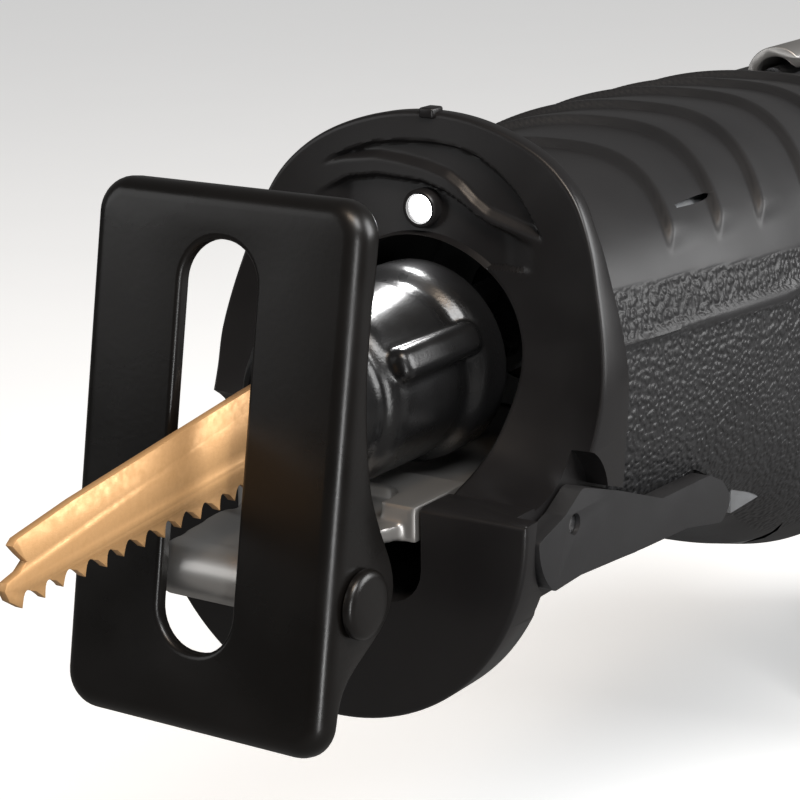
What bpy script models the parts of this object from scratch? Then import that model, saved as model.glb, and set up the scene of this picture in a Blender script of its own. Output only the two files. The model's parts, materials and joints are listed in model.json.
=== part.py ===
"""Cordless reciprocating saw, built as its separate pieces.

Sizes are millimetres.  Places are measured from the saw's mid-plane (x), the middle of
the shoe's face (y, growing towards the handle) and the blade's axis (z, upwards); at()
moves them into the part's own frame, whose origin lies under the middle of the saw.
"""
import math

import bmesh
import bpy
from mathutils import Matrix, Vector

MM = 0.001
GAP = 0.3                    # clearance between pieces that touch
FACE_Y = -198.85             # the shoe's face and the blade's axis in the part's own frame
AXIS_Z = 168.0

# Shoe and its rail
SHOE_WIDTH, SHOE_HIGH, SHOE_LOW, SHOE_DEPTH = 47.0, 38.5, -40.5, 5.4
SHOE_TILT = math.radians(10.0)
SHOE_CORNER, SHOE_ROLL, SHOE_SHEET = 5.5, 3.2, 2.4
SLOT_HALF, SLOT_LOW, SLOT_HIGH = 6.6, -28.5, 31.0
PIVOT_Y, PIVOT_Z = 3.9, -18.8
PIVOT_RADIUS, PIVOT_HEAD, EAR_RADIUS, TONGUE_END = 2.5, 5.1, 9.0, 4.3
RAIL_HALF, TONGUE_HALF, NOTCH_HALF = 16.5, 9.5, 10.5
RAIL_TOP, RAIL_STEP, RAIL_LOW, RAIL_FRONT, RAIL_REAR = -12.9, -15.4, -20.4, 29.0, 118.0

# Blade
BLADE_THICK, TOOTH_PITCH, TOOTH_DEPTH, TEETH = 1.3, 4.233, 2.1, 14
BLADE_TIP_Y, BLADE_LINE_Z, BLADE_LINE_SLOPE = -40.3, -9.9, 0.037

# Blade clamp and slider
SLEEVE_RADIUS, SLEEVE_RING, CLAMP_RADIUS, ROD_RADIUS = 14.5, 16.0, 10.6, 8.0
SLEEVE_FRONT, SLEEVE_REAR = 22.0, 58.0
CLAMP_AXIS_Z = 2.0
YOKE_FRONT, YOKE_REAR, YOKE_HALF = 128.5, 147.5, 26.0
YOKE_LOW, YOKE_HIGH = -4.0, 8.0

# Crank drive
CRANK_Y, CRANK_THROW = 154.0, 16.0
GEAR_RADIUS, GEAR_TEETH, GEAR_LOW, GEAR_FACE, TOOTH_TOP = 27.0, 26, -28.0, -21.0, -18.9
ROLLER_RADIUS, CRANK_PIN_RADIUS, SHAFT_RADIUS = 5.5, 3.0, 5.0
BEARING_RADIUS = 11.0

# Motor
MOTOR_Z = -12.0
PINION_RADIUS, PINION_TEETH, MOTOR_SHAFT = 6.4, 8, 4.0
STATOR_RADIUS, ROTOR_RADIUS, FAN_RADIUS = 28.0, 15.0, 28.0

# Nose, boot and gear housing
MOUTH_RADIUS = 19.7
CHIN_HALF, CHIN_FRONT, CHIN_REAR, CHIN_TOP, CHIN_LOW = 35.3, 30.0, 39.0, -13.7, -50.0
CHIN_NOTCH_HALF, CHIN_NOTCH_LOW = 17.0, -29.0
LED_Y, LED_Z, LED_RADIUS = 57.0, 26.0, 2.6
BOOT_FRONT, BOOT_REAR = 61.0, 187.0
GEARBOX_FRONT, GEARBOX_REAR, GEARBOX_SPLIT = 92.0, 187.5, 2.0
GEARBOX_HALF, GEARBOX_TOP, GEARBOX_LOW = 31.0, 26.5, -50.0
BUSH_RADIUS = 12.0

# Shoe lever
LEVER_Y, LEVER_Z = 44.0, -16.5
LEVER_IN, LEVER_OUT = 32.2, 35.6
LEVER_PIN, LEVER_NOSE = 1.5, 10.7
LEVER_BAR = ((14.0, -39.0), (LEVER_OUT, -27.0))    # the bar's flat and where it meets the arms

# Rear housing and handle
BARREL_FRONT, BARREL_REAR, WALL = 188.0, 302.0, 2.6
GRIP_HALF, BASE_HALF = 16.0, 36.0
BASE_TOP, BASE_LOW = -92.0, -112.0
HANDLE_OUTLINE = ((270, 29), (335, 31), (388, 27), (407, 12), (431, -62), (441, -92),
                  (441, -112), (322, -112), (316, -92), (296, -54), (270, -52))
FINGER_GAP = ((318, 7), (364, 5), (379, -10), (396, -78), (350, -84), (328, -68), (312, -30))
GRIP_ROOM = ((300, 10), (330, 28), (386, 24), (403, 11), (428, -62), (434, -90), (400, -90), (399, -76),
             (382, -8), (366, 8), (316, 10))
SCREWS = ((203, 21.0, 25), (287, 19.0, 22), (203, -45.0, 25), (293, -42.0, 20),   # y, z and
          (332, -99.5, 33), (396, 14.0, 14))                                  # boss length
SCREW_HEAD, SCREW_SHANK, SCREW_SEAT, SCREW_TIP = 3.5, 1.9, 10.0, -8.0

# Battery
BATTERY_HALF, BATTERY_FRONT, BATTERY_REAR = 37.3, 326.0, 440.5
BATTERY_TOP, BATTERY_SPLIT, BATTERY_LOW = -112.4, -131.0, -168.0
CELL_PITCH, CELL_RADIUS = 18.9, 9.3

# Rafter hook
HOOK_Z, HOOK_OUTER, HOOK_SHEET, HOOK_FRONT, HOOK_REAR = 29.5, 6.5, 2.0, 190.0, 214.0
HOOK_PIN_RADIUS = 2.5

LOOKS = {                    # base colour, roughness, metallic
    "black_steel": ((0.012, 0.011, 0.010), 0.32, 0.3),
    "phosphated_steel": ((0.17, 0.165, 0.16), 0.45, 0.9),
    "bright_steel": ((0.62, 0.62, 0.63), 0.25, 1.0),
    "bimetal": ((0.60, 0.38, 0.20), 0.42, 0.7),
    "black_sleeve": ((0.015, 0.015, 0.016), 0.25, 0.1),
    "rubber": ((0.018, 0.018, 0.019), 0.55, 0.0),
    "black_plastic": ((0.020, 0.020, 0.021), 0.45, 0.0),
    "grey_plastic": ((0.10, 0.10, 0.11), 0.5, 0.0),
    "cast_aluminium": ((0.52, 0.53, 0.54), 0.45, 1.0),
    "bronze": ((0.55, 0.36, 0.16), 0.4, 1.0),
    "felt": ((0.06, 0.055, 0.05), 0.9, 0.0),
    "copper": ((0.72, 0.32, 0.16), 0.35, 1.0),
    "board": ((0.02, 0.14, 0.06), 0.5, 0.0),
    "lens": ((0.95, 0.97, 1.0), 0.1, 0.0),
    "zinc": ((0.55, 0.55, 0.56), 0.35, 1.0),
}


# ---------------------------------------------------------------- tools

def at(x, y, z):
    """A place on the saw, in metres in the part's own frame."""
    return Vector((x, y + FACE_Y, z + AXIS_Z)) * MM


def collection(name):
    found = bpy.data.collections.get(name)
    if found is None:
        found = bpy.data.collections.new(name)
        bpy.context.scene.collection.children.link(found)
    return found


def dress(obj, look):
    """Give the piece its own material."""
    colour, roughness, metallic = LOOKS[look]
    material = bpy.data.materials.new(f"{obj.name}_{look}")
    material.use_nodes = True
    sockets = material.node_tree.nodes["Principled BSDF"].inputs
    sockets["Base Color"].default_value = (*colour, 1)
    sockets["Roughness"].default_value = roughness
    sockets["Metallic"].default_value = metallic
    obj.data.materials.append(material)


def piece(name, mesh, look):
    """A piece of the saw, or with no look a cutter that the build leaves out."""
    obj = bpy.data.objects.new(name, mesh)
    if look:
        collection("reciprocating_saw").objects.link(obj)
        dress(obj, look)
    else:
        collection("cutters").objects.link(obj)
        obj.hide_render = True
        obj.display_type = "WIRE"
    return obj


def piece_of(name, bm, look):
    bmesh.ops.recalc_face_normals(bm, faces=bm.faces)
    mesh = bpy.data.meshes.new(name)
    bm.to_mesh(mesh)
    bm.free()
    mesh.shade_smooth()
    mesh.set_sharp_from_angle(angle=math.radians(35))
    return piece(name, mesh, look)


def facing(axis):
    """The turn that lays local Z along the axis, and the outline's two directions after it."""
    columns = {"X": ((0, 1, 0), (0, 0, 1), (1, 0, 0)),
               "Y": ((1, 0, 0), (0, 0, 1), (0, -1, 0)),
               "Z": ((1, 0, 0), (0, 1, 0), (0, 0, 1))}[axis]
    return Matrix(columns).transposed().to_4x4()


def along(axis, centre, distance):
    """A place at this distance along the axis, with the centre's other two coordinates."""
    place = list(centre)
    place["XYZ".index(axis)] = distance
    return place


def soften(obj, width, segments=2):
    modifier = obj.modifiers.new("rounding", "BEVEL")
    modifier.width = width * MM
    modifier.segments = segments
    modifier.limit_method = "ANGLE"
    return obj


def box(name, look, x, y, z):
    bm = bmesh.new()
    bmesh.ops.create_cube(bm, size=1)
    low, high = at(x[0], y[0], z[0]), at(x[1], y[1], z[1])
    bmesh.ops.scale(bm, vec=high - low, verts=bm.verts)
    bmesh.ops.translate(bm, vec=(low + high) / 2, verts=bm.verts)
    return piece_of(name, bm, look)


def rod(name, look, axis, centre, radius, span, sides=24):
    """A cylinder along the axis through centre, from span[0] to span[1] on that axis."""
    bm = bmesh.new()
    middle = at(*along(axis, centre, sum(span) / 2))
    bmesh.ops.create_cone(bm, cap_ends=True, segments=sides, radius1=radius * MM,
                          radius2=radius * MM, depth=(span[1] - span[0]) * MM,
                          matrix=Matrix.Translation(middle) @ facing(axis))
    return piece_of(name, bm, look)


def turned(name, look, axis, centre, profile, sides=24, closed=False):
    """A turned piece.  profile holds (radius, place on the axis), and runs down the outer
    side from the far end to the near one; a closed one comes back up the inner side."""
    ahead = -1 if axis == "Y" else 1
    rows = profile if ahead == 1 else profile[::-1]
    start = centre["XYZ".index(axis)]
    mesh = bpy.data.meshes.new(name)
    points = [(radius * MM, 0, ahead * (place - start) * MM) for radius, place in rows]
    edges = [(i, i + 1) for i in range(len(points) - 1)]
    mesh.from_pydata(points, edges + ([(len(points) - 1, 0)] if closed else []), [])
    obj = piece(name, mesh, look)
    obj.matrix_world = Matrix.Translation(at(*centre)) @ facing(axis)
    screw = obj.modifiers.new("turning", "SCREW")
    screw.steps = screw.render_steps = sides
    screw.use_merge_vertices = True
    screw.merge_threshold = 1e-5
    return obj


def plate(name, look, axis, span, outline, holes=()):
    """An outline, given in the two directions across the axis, as thick as span."""
    curve = bpy.data.curves.new(name, "CURVE")
    curve.dimensions = "2D"
    curve.fill_mode = "BOTH"
    curve.extrude = (span[1] - span[0]) / 2 * MM
    for loop in (outline, *holes):
        spline = curve.splines.new("POLY")
        spline.points.add(len(loop) - 1)
        for point, (across, up) in zip(spline.points, loop):
            point.co = (across * MM, up * MM, 0, 1)
        spline.use_cyclic_u = True
    helper = bpy.data.objects.new(name + "_outline", curve)
    bpy.context.scene.collection.objects.link(helper)
    graph = bpy.context.evaluated_depsgraph_get()
    mesh = bpy.data.meshes.new_from_object(helper.evaluated_get(graph))
    bpy.data.objects.remove(helper)
    bm = bmesh.new()
    bm.from_mesh(mesh)
    bmesh.ops.remove_doubles(bm, verts=bm.verts, dist=1e-6)
    bmesh.ops.transform(bm, matrix=Matrix.Translation(at(*along(axis, (0, 0, 0), sum(span) / 2)))
                        @ facing(axis), verts=bm.verts)
    return piece_of(name, bm, look)


def loft(name, look, rings, capped=True):
    """A skin through rings of places; with no caps the last ring joins the first."""
    bm = bmesh.new()
    rows = [[bm.verts.new(place) for place in ring] for ring in rings]
    pairs = list(zip(rows, rows[1:])) + ([] if capped else [(rows[-1], rows[0])])
    for one, two in pairs:
        for i in range(len(one)):
            j = (i + 1) % len(one)
            bm.faces.new((one[i], one[j], two[j], two[i]))
    if capped:
        bm.faces.new(rows[0])
        bm.faces.new(rows[-1])
    return piece_of(name, bm, look)


def coil(name, look, axis, centre, radius, wire, span, turns):
    """A coil spring: a wire wound round the axis from span[0] to span[1]."""
    curve = bpy.data.curves.new(name, "CURVE")
    curve.dimensions = "3D"
    curve.bevel_depth = wire * MM
    curve.bevel_resolution = 0
    curve.use_fill_caps = True
    per_turn = 8
    spline = curve.splines.new("POLY")
    spline.points.add(turns * per_turn)
    turn = facing(axis)
    for i, point in enumerate(spline.points):
        angle = math.tau * i / per_turn
        rise = span[0] + (span[1] - span[0]) * i / (turns * per_turn)
        around = turn @ Vector((math.cos(angle), math.sin(angle), 0)) * radius * MM
        point.co = (*(at(*along(axis, centre, rise)) + around), 1)
    return piece(name, curve, look)


def rounded(outline, radius, steps=4):
    """The outline with each corner replaced by an arc, no larger than its sides allow."""
    result = []
    count = len(outline)
    for i, corner in enumerate(outline):
        here = Vector(corner)
        before = Vector(outline[i - 1]) - here
        after = Vector(outline[(i + 1) % count]) - here
        half = before.angle(after) / 2
        reach = min(radius / math.tan(half), before.length * 0.49, after.length * 0.49)
        fillet = reach * math.tan(half)
        centre = here + (before.normalized() + after.normalized()).normalized() * fillet / math.sin(half)
        first = here + before.normalized() * reach - centre
        last = here + after.normalized() * reach - centre
        sweep = first.angle_signed(last)
        for k in range(steps + 1):
            turn = Matrix.Rotation(-sweep * k / steps, 2)
            result.append(tuple(centre + turn @ first))
    return result


def arc(centre, radius, start, end, steps):
    """Places on a circle, with angles in degrees."""
    angles = [math.radians(start + (end - start) * k / steps) for k in range(steps + 1)]
    return [(centre[0] + radius * math.cos(a), centre[1] + radius * math.sin(a)) for a in angles]


def rectangle(half, low, high):
    return [(-half, low), (half, low), (half, high), (-half, high)]


def boolean(obj, operation, tools):
    for tool in tools:
        modifier = obj.modifiers.new(operation.lower(), "BOOLEAN")
        modifier.operation = operation
        modifier.object = tool
    return obj


def cut(obj, *cutters):
    return boolean(obj, "DIFFERENCE", cutters)


def join(obj, *others):
    return boolean(obj, "UNION", others)


def jointed(name, place, *pieces):
    """An empty on a joint's axis that carries the pieces which move about it."""
    empty = bpy.data.objects.new(name, None)
    collection("reciprocating_saw").objects.link(empty)
    empty.location = at(*place)
    empty.empty_display_size = 0.01
    bpy.context.view_layer.update()
    for moving in pieces:
        tools = [m.object for m in moving.modifiers if m.type == "BOOLEAN"]
        for obj in (moving, *tools):
            obj.parent = empty
            obj.matrix_parent_inverse = empty.matrix_world.inverted()
    return empty


# ---------------------------------------------------------------- shoe, rail and blade

def tilted(obj):
    """Lean the shoe's own upright shape back about the middle of its face."""
    obj.matrix_world = (Matrix.Translation(at(0, 0, 0)) @ Matrix.Rotation(-SHOE_TILT, 4, "X")
                        @ Matrix.Translation(-at(0, 0, 0)))
    return obj


def shoe_ring(inset, depth):
    corner = max(SHOE_CORNER - inset, 1.0)
    sides = rectangle(SHOE_WIDTH / 2 - inset, SHOE_LOW + inset, SHOE_HIGH - inset)
    return [at(x, depth, z) for x, z in rounded(sides, corner, 4)]


def shoe():
    """A pressed tray with rolled edges, a blade slot and two ears for the pivot pin."""
    rolls = [math.radians(angle) for angle in (0, 45, 90)]
    rings = [shoe_ring(SHOE_ROLL * (1 - math.sin(a)), SHOE_ROLL * (1 - math.cos(a))) for a in rolls]
    fillet = 1.2
    rings += [shoe_ring(0, SHOE_DEPTH), shoe_ring(SHOE_SHEET, SHOE_DEPTH),
              shoe_ring(SHOE_SHEET, SHOE_SHEET + fillet), shoe_ring(SHOE_SHEET + fillet, SHOE_SHEET)]
    body = tilted(loft("shoe", "black_steel", rings))
    pin = (PIVOT_Y * math.cos(SHOE_TILT) - PIVOT_Z * math.sin(SHOE_TILT),
           PIVOT_Y * math.sin(SHOE_TILT) + PIVOT_Z * math.cos(SHOE_TILT))
    ear = [(3.4, 6.0), (SHOE_DEPTH - 0.4, 6.0), *arc(pin, EAR_RADIUS, 42, -55, 8),
           (SHOE_DEPTH - 0.6, -30.0), (3.4, -33.0)]
    inner, outer = SHOE_WIDTH / 2 - SHOE_SHEET - GAP, SHOE_WIDTH / 2 - GAP
    ears = [tilted(plate(f"shoe_ear_{side}", None, "X", span, ear))
            for side, span in (("left", (-outer, -inner)), ("right", (inner, outer)))]
    slot = tilted(plate("shoe_slot", None, "Y", (-2, 20), rounded(rectangle(SLOT_HALF, SLOT_LOW, SLOT_HIGH),
                                                                  SLOT_HALF * 0.97, 5)))
    bore = rod("shoe_bore", None, "X", (0, PIVOT_Y, PIVOT_Z), PIVOT_RADIUS + GAP, (-28, 28), 16)
    return cut(join(body, *ears), slot, bore)


def pivot_pin():
    head, crown, end = SHOE_WIDTH / 2 + 0.4, 1.9, 0.7
    half = [(0, head + crown), (PIVOT_HEAD - 1.0, head + crown), (PIVOT_HEAD, head + crown - end),
            (PIVOT_HEAD, head), (PIVOT_RADIUS, head)]
    other = [(radius, -place) for radius, place in half[::-1]]
    return turned("shoe_pivot_pin", "black_steel", "X", (0, PIVOT_Y, PIVOT_Z), half + other)


def shoe_rail():
    """The sliding plate that carries the shoe on a tongue."""
    side = [(RAIL_FRONT, RAIL_TOP), (44, RAIL_TOP), (46, RAIL_STEP), (RAIL_REAR, RAIL_STEP),
            (RAIL_REAR, RAIL_LOW), (40, RAIL_LOW), (34, -18.6), (RAIL_FRONT, -18.6)]
    body = plate("shoe_rail", "phosphated_steel", "X", (-RAIL_HALF, RAIL_HALF), side)
    notch = box("rail_notch", None, (-NOTCH_HALF, NOTCH_HALF), (20, 36), (-15.6, 0))
    tongue = plate("rail_tongue", None, "X", (-TONGUE_HALF, TONGUE_HALF),
                   [(42, -16.2), (28, -15.9), *arc((PIVOT_Y, PIVOT_Z), TONGUE_END, 75, 290, 10), (42, -19.8)])
    bore = rod("rail_bore", None, "X", (0, PIVOT_Y, PIVOT_Z), PIVOT_RADIUS + GAP, (-20, 20), 16)
    return cut(join(cut(body, soften(notch, 2)), tongue), bore)


def blade_outline():
    """Teeth with their steep faces towards the handle, a sloping back and a clipped tip."""
    outline = []
    for i in range(TEETH):
        y = BLADE_TIP_Y + i * TOOTH_PITCH
        tip_z = BLADE_LINE_Z + (y - BLADE_TIP_Y) * BLADE_LINE_SLOPE
        outline += [(y, tip_z), (y + 0.5, tip_z + TOOTH_DEPTH * 0.85),
                    (y + 1.4, tip_z + TOOTH_DEPTH), (y + 2.6, tip_z + TOOTH_DEPTH * 0.8)]
    heel, shank = 20.5, 48.0
    return outline + [(heel - 2.0, -6.5), (heel, -3.6), (shank, -3.6), (shank, 6.6), (heel, 6.6),
                      (heel - 4.0, 8.3), (9.6, 7.5), (-29.4, 1.8), (-41.3, -0.3), (-38.8, -3.8),
                      (-43.5, -6.5)]


def blade_and_clamp():
    """What the slider drives: blade, clamp and the rod with its cross yoke."""
    axis = (0, 0, CLAMP_AXIS_Z)
    hole = rod("blade_hole", None, "X", (0, 40, CLAMP_AXIS_Z), 2.3, (-30, 30), 12)
    strip = plate("saw_blade", "bimetal", "X", (-BLADE_THICK / 2, BLADE_THICK / 2), blade_outline())
    blade = cut(strip, hole)
    clamp = rod("blade_clamp_body", "phosphated_steel", "Y", axis, CLAMP_RADIUS, (29.6, 57.4))
    neck = turned("clamp_neck", None, "Y", axis, [(14, 60), (14, 51), (8.6, 51), (8.6, 60)], closed=True)
    slit = box("clamp_slit", None, (-1.0, 1.0), (28, 50), (-4.1, 7.1))
    pin_hole = rod("clamp_pin_hole", None, "X", (0, 40, CLAMP_AXIS_Z), 2.3, (-7, 30), 12)
    cut(clamp, neck, slit, pin_hole)
    lock = rod("clamp_lock_pin", "bright_steel", "X", (0, 40, CLAMP_AXIS_Z), 1.9, (-6, 9.6), 12)
    profile = [(SLEEVE_RING, SLEEVE_REAR), (SLEEVE_RING, 50.5), (SLEEVE_RADIUS, 49.5),
               (SLEEVE_RADIUS, 30.5), (11.5, 24.0), (9.4, SLEEVE_FRONT),
               (7.6, SLEEVE_FRONT), (7.6, 28.8), (11.0, 29.2), (11.0, 50.2), (12.7, 50.8),
               (12.7, SLEEVE_REAR)]
    sleeve = turned("blade_clamp_sleeve", "black_sleeve", "Y", axis, profile, 20, closed=True)
    for side, lift in (("left", 25), ("right", 205)):
        rib = box(f"sleeve_rib_{side}", None, (12.6, 17.3), (30, 51.5), (-2.4, 2.4))
        rib.matrix_world = (Matrix.Translation(at(*axis)) @ Matrix.Rotation(-math.radians(lift), 4, "Y")
                            @ Matrix.Translation(-at(0, 0, 0)))
        join(sleeve, rib)
    spring = coil("clamp_spring", "bright_steel", "Y", axis, 10.7, 0.7, (52.2, 57.0), 2)
    slider = rod("slider", "bright_steel", "Y", axis, ROD_RADIUS, (57.8, YOKE_FRONT + 0.5), 20)
    yoke = box("slider_yoke", None, (-YOKE_HALF, YOKE_HALF), (YOKE_FRONT, YOKE_REAR), (YOKE_LOW, YOKE_HIGH))
    middle, reach = (YOKE_FRONT + YOKE_REAR) / 2, CRANK_THROW + ROLLER_RADIUS + 1
    slot_half = ROLLER_RADIUS + GAP
    slot = box("yoke_slot", None, (-reach, reach), (middle - slot_half, middle + slot_half),
               (YOKE_LOW - 1, YOKE_LOW + 8))
    cut(join(slider, soften(yoke, 1.5)), slot)
    jointed("slider_joint", axis, blade, clamp, lock, spring, slider)
    jointed("sleeve_joint", axis, sleeve)


# ---------------------------------------------------------------- drive and motor

def toothed_rim(centre, radii, teeth):
    """A gear's outline, stepping out from the root radius to the tip radius and back."""
    outline = []
    for i in range(teeth):
        for part, radius in ((0.0, radii[0]), (0.28, radii[0]), (0.38, radii[1]), (0.9, radii[1])):
            angle = math.tau * (i + part) / teeth
            outline.append((centre[0] + radius * math.cos(angle), centre[1] + radius * math.sin(angle)))
    return outline


def ring_profile(outer, inner, span):
    """A square-edged ring's section, from span[0] to span[1] along its axis."""
    return [(outer, span[1]), (outer, span[0]), (inner, span[0]), (inner, span[1])]


def bearing(name, axis, centre, shaft, span):
    """A plain ring standing for a ball bearing on its shaft."""
    profile = ring_profile(BEARING_RADIUS, shaft + GAP, span)
    turned(name, "bright_steel", axis, centre, profile, 20, closed=True)


def crank_drive():
    centre = (0, CRANK_Y, 0)
    rim = toothed_rim((0, CRANK_Y), (GEAR_RADIUS - 2.0, GEAR_RADIUS), GEAR_TEETH)
    gear = plate("crank_gear", "phosphated_steel", "Z", (TOOTH_TOP - 3.1, TOOTH_TOP), rim)
    web = rod("gear_web", None, "Z", centre, GEAR_RADIUS - 2.4, (GEAR_LOW, GEAR_FACE), 36)
    dish = rod("gear_dish", None, "Z", centre, GEAR_RADIUS - 5.0, (GEAR_FACE, TOOTH_TOP + 2), 36)
    pin_centre = (0, CRANK_Y - CRANK_THROW, 0)
    pin_span = (GEAR_FACE - 2, YOKE_LOW - 0.5)
    crank_pin = rod("crank_pin", None, "Z", pin_centre, CRANK_PIN_RADIUS, pin_span, 16)
    bore = rod("gear_bore", None, "Z", centre, SHAFT_RADIUS + GAP, (GEAR_LOW - 2, GEAR_FACE + 1), 20)
    cut(join(cut(join(gear, web), dish), crank_pin), bore)
    roller = turned("crank_roller", "bright_steel", "Z", pin_centre,
                    [(ROLLER_RADIUS, YOKE_LOW - 0.4), (ROLLER_RADIUS, GEAR_FACE + GAP),
                     (CRANK_PIN_RADIUS + GAP, GEAR_FACE + GAP), (CRANK_PIN_RADIUS + GAP, YOKE_LOW - 0.4)],
                    16, closed=True)
    shaft = rod("crank_shaft", "bright_steel", "Z", centre, SHAFT_RADIUS, (-45.6, GEAR_FACE - 0.2), 20)
    jointed("crank_joint", centre, gear, roller, shaft)
    bearing("crank_upper_bearing", "Z", centre, SHAFT_RADIUS, (-35.0, -29.0))
    bearing("crank_lower_bearing", "Z", centre, SHAFT_RADIUS, (-45.4, -39.4))


def motor():
    centre = (0, 0, MOTOR_Z)
    teeth = toothed_rim((0, MOTOR_Z), (PINION_RADIUS - 1.4, PINION_RADIUS), PINION_TEETH)
    pinion = plate("motor_pinion", "bright_steel", "Y", (176.4, 183.4), teeth)
    cut(pinion, rod("pinion_bore", None, "Y", centre, MOTOR_SHAFT + GAP, (170, 190), 16))
    shaft = rod("motor_shaft", "bright_steel", "Y", centre, MOTOR_SHAFT, (176.0, 288.0), 16)
    rotor = turned("rotor_core", "phosphated_steel", "Y", centre,
                   ring_profile(ROTOR_RADIUS, MOTOR_SHAFT + GAP, (222, 262)), 20, closed=True)
    fan = turned("cooling_fan", "black_plastic", "Y", centre,
                 [(9, 209), (FAN_RADIUS, 200), (FAN_RADIUS, 198), (MOTOR_SHAFT + GAP, 198),
                  (MOTOR_SHAFT + GAP, 209)], 24, closed=True)
    for i in range(8):
        blade = box(f"fan_vane_{i}", None, (7, FAN_RADIUS - 1), (199, 208), (-0.8, 0.8))
        blade.matrix_world = (Matrix.Translation(at(*centre)) @ Matrix.Rotation(math.tau * i / 8, 4, "Y")
                              @ Matrix.Translation(-at(0, 0, 0)))
        join(fan, blade)
    jointed("motor_joint", centre, pinion, shaft, rotor, fan)
    turned("stator", "copper", "Y", centre, ring_profile(STATOR_RADIUS, ROTOR_RADIUS + 1, (218, 266)),
           28, closed=True)
    bearing("front_motor_bearing", "Y", centre, MOTOR_SHAFT, (184.2, 190.2))
    bearing("rear_motor_bearing", "Y", centre, MOTOR_SHAFT, (278.0, 284.0))
    turned("sensor_board", "board", "Y", centre, ring_profile(22, 8, (269, 270.6)), 20, closed=True)


def gearbox_section(low):
    """Half of the gearbox's cross-section, below the split or above it."""
    corner, side = 16.0, GEARBOX_HALF
    inset = side - corner
    if low:
        edge, height = GEARBOX_SPLIT - GAP / 2, GEARBOX_LOW + corner
        return [(-side, edge), *arc((-inset, height), corner, 180, 270, 5),
                *arc((inset, height), corner, 270, 360, 5), (side, edge)]
    edge, height = GEARBOX_SPLIT + GAP / 2, GEARBOX_TOP - corner
    return [(side, edge), *arc((inset, height), corner, 0, 90, 5),
            *arc((-inset, height), corner, 90, 180, 5), (-side, edge)]


def spread(outline, gap, lap):
    """The outline grown by a working gap, and past the split by lap, as a cavity for it."""
    scale = 1 + gap / GEARBOX_HALF
    beyond = GEARBOX_SPLIT + lap * (1 if outline[0][1] < GEARBOX_SPLIT else -1)
    return [(x * scale, beyond if abs(z - GEARBOX_SPLIT) < 1 else z * scale) for x, z in outline]


def gearbox():
    """The cast housing and its cover, split at the slider's axis, with bushes and seal."""
    axis = (0, 0, CLAMP_AXIS_Z)
    span = (GEARBOX_FRONT, GEARBOX_REAR - GAP)
    for name, low in (("gear_housing", True), ("gear_housing_cover", False)):
        half = plate(name, "cast_aluminium", "Y", span, gearbox_section(low))
        tools = [box(f"{name}_cavity", None, (-28, 28), (127, 183.7), (-28.9, 22.5)),
                 rod(f"{name}_bore", None, "Y", axis, BUSH_RADIUS + GAP, (88, 130))]
        if low:
            tools += [box("gearbox_belly", None, (-40, 40), (80, 136), (-60, -33.5)),
                      box("gearbox_waist_left", None, (27.5, 40), (80, 108), (-60, 10)),
                      box("gearbox_waist_right", None, (-40, -27.5), (80, 108), (-60, 10)),
                      box("gearbox_rail_way", None, (-17, 17), (80, 119), (RAIL_LOW - 0.6, RAIL_STEP + 0.5)),
                      rod("gearbox_bearing_bore", None, "Z", (0, CRANK_Y, 0), 11.3, (-45.8, -20)),
                      rod("gearbox_motor_bore", None, "Y", (0, 0, MOTOR_Z), 11.3, (180, 192))]
        else:
            tools += [box("cover_brow", None, (-40, 40), (80, 124), (23.5, 40)),
                      box("cover_waist_left", None, (27.5, 40), (80, 108), (-20, 40)),
                      box("cover_waist_right", None, (-40, -27.5), (80, 108), (-20, 40))]
        cut(half, *tools)
    for name, look, ends in (("dust_seal", "felt", (92.3, 95.7)), ("front_bush", "bronze", (96.0, 106.0)),
                             ("rear_bush", "bronze", (115.0, 126.5))):
        turned(name, look, "Y", axis, ring_profile(BUSH_RADIUS, ROD_RADIUS + GAP, ends), closed=True)


# ---------------------------------------------------------------- nose, boot and lever

def between(z, rows):
    """The value at a height, on straight lines between rows of height and value."""
    for (z1, value1), (z2, value2) in zip(rows, rows[1:]):
        if z >= z2:
            return value1 + (value2 - value1) * (z1 - z) / (z1 - z2)
    return rows[-1][1]


def rim_half_width(z):
    """Half the width of the nose rim at a height."""
    return between(z, ((41.0, 0.0), (39.5, 10.0), (34.0, 24.4), (27.0, 29.5), (18.0, 32.3), (3.0, 36.0),
                       (-8.0, 35.4), (-16.0, 34.6)))


def rim_depth(z):
    """How far behind the shoe's face the rim stands at a height: it leans back at the top
    and sweeps forward into the chin."""
    return between(z, ((41.0, 60.0), (18.0, 55.0), (3.0, 52.0), (-6.0, 47.5), (-11.0, 42.0), (-16.0, 34.0)))


def rim_places():
    """The rim's outline from the right foot over the top to the left foot, then below."""
    heights = (-16, -8, 3, 11, 18, 27, 34, 39.5)
    right = [(rim_half_width(z), z) for z in heights]
    left = [(-x, z) for x, z in right[::-1]]
    lower = [(-31, -26), (-20, -34), (0, -36), (20, -34), (31, -26)]
    return right + [(0, 41.0)] + left + lower


def nose_ring(stations):
    """The collar as a loop of cross-sections; stations says how each corner of a section
    is worked out from its place on the rim."""
    outline = rim_places()
    return [[station(x, z) for x, z in outline] for station in stations]


def towards_mouth(x, z, share):
    """A place between the rim and the mouth's circle."""
    length = math.hypot(x, z - CLAMP_AXIS_Z)
    mouth = (x / length * MOUTH_RADIUS, CLAMP_AXIS_Z + (z - CLAMP_AXIS_Z) / length * MOUTH_RADIUS)
    return x + (mouth[0] - x) * share, z + (mouth[1] - z) * share


def set_back(place, depth):
    """The point at this depth behind the shoe's face, for a place across the saw."""
    return at(place[0], depth, place[1])


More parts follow.
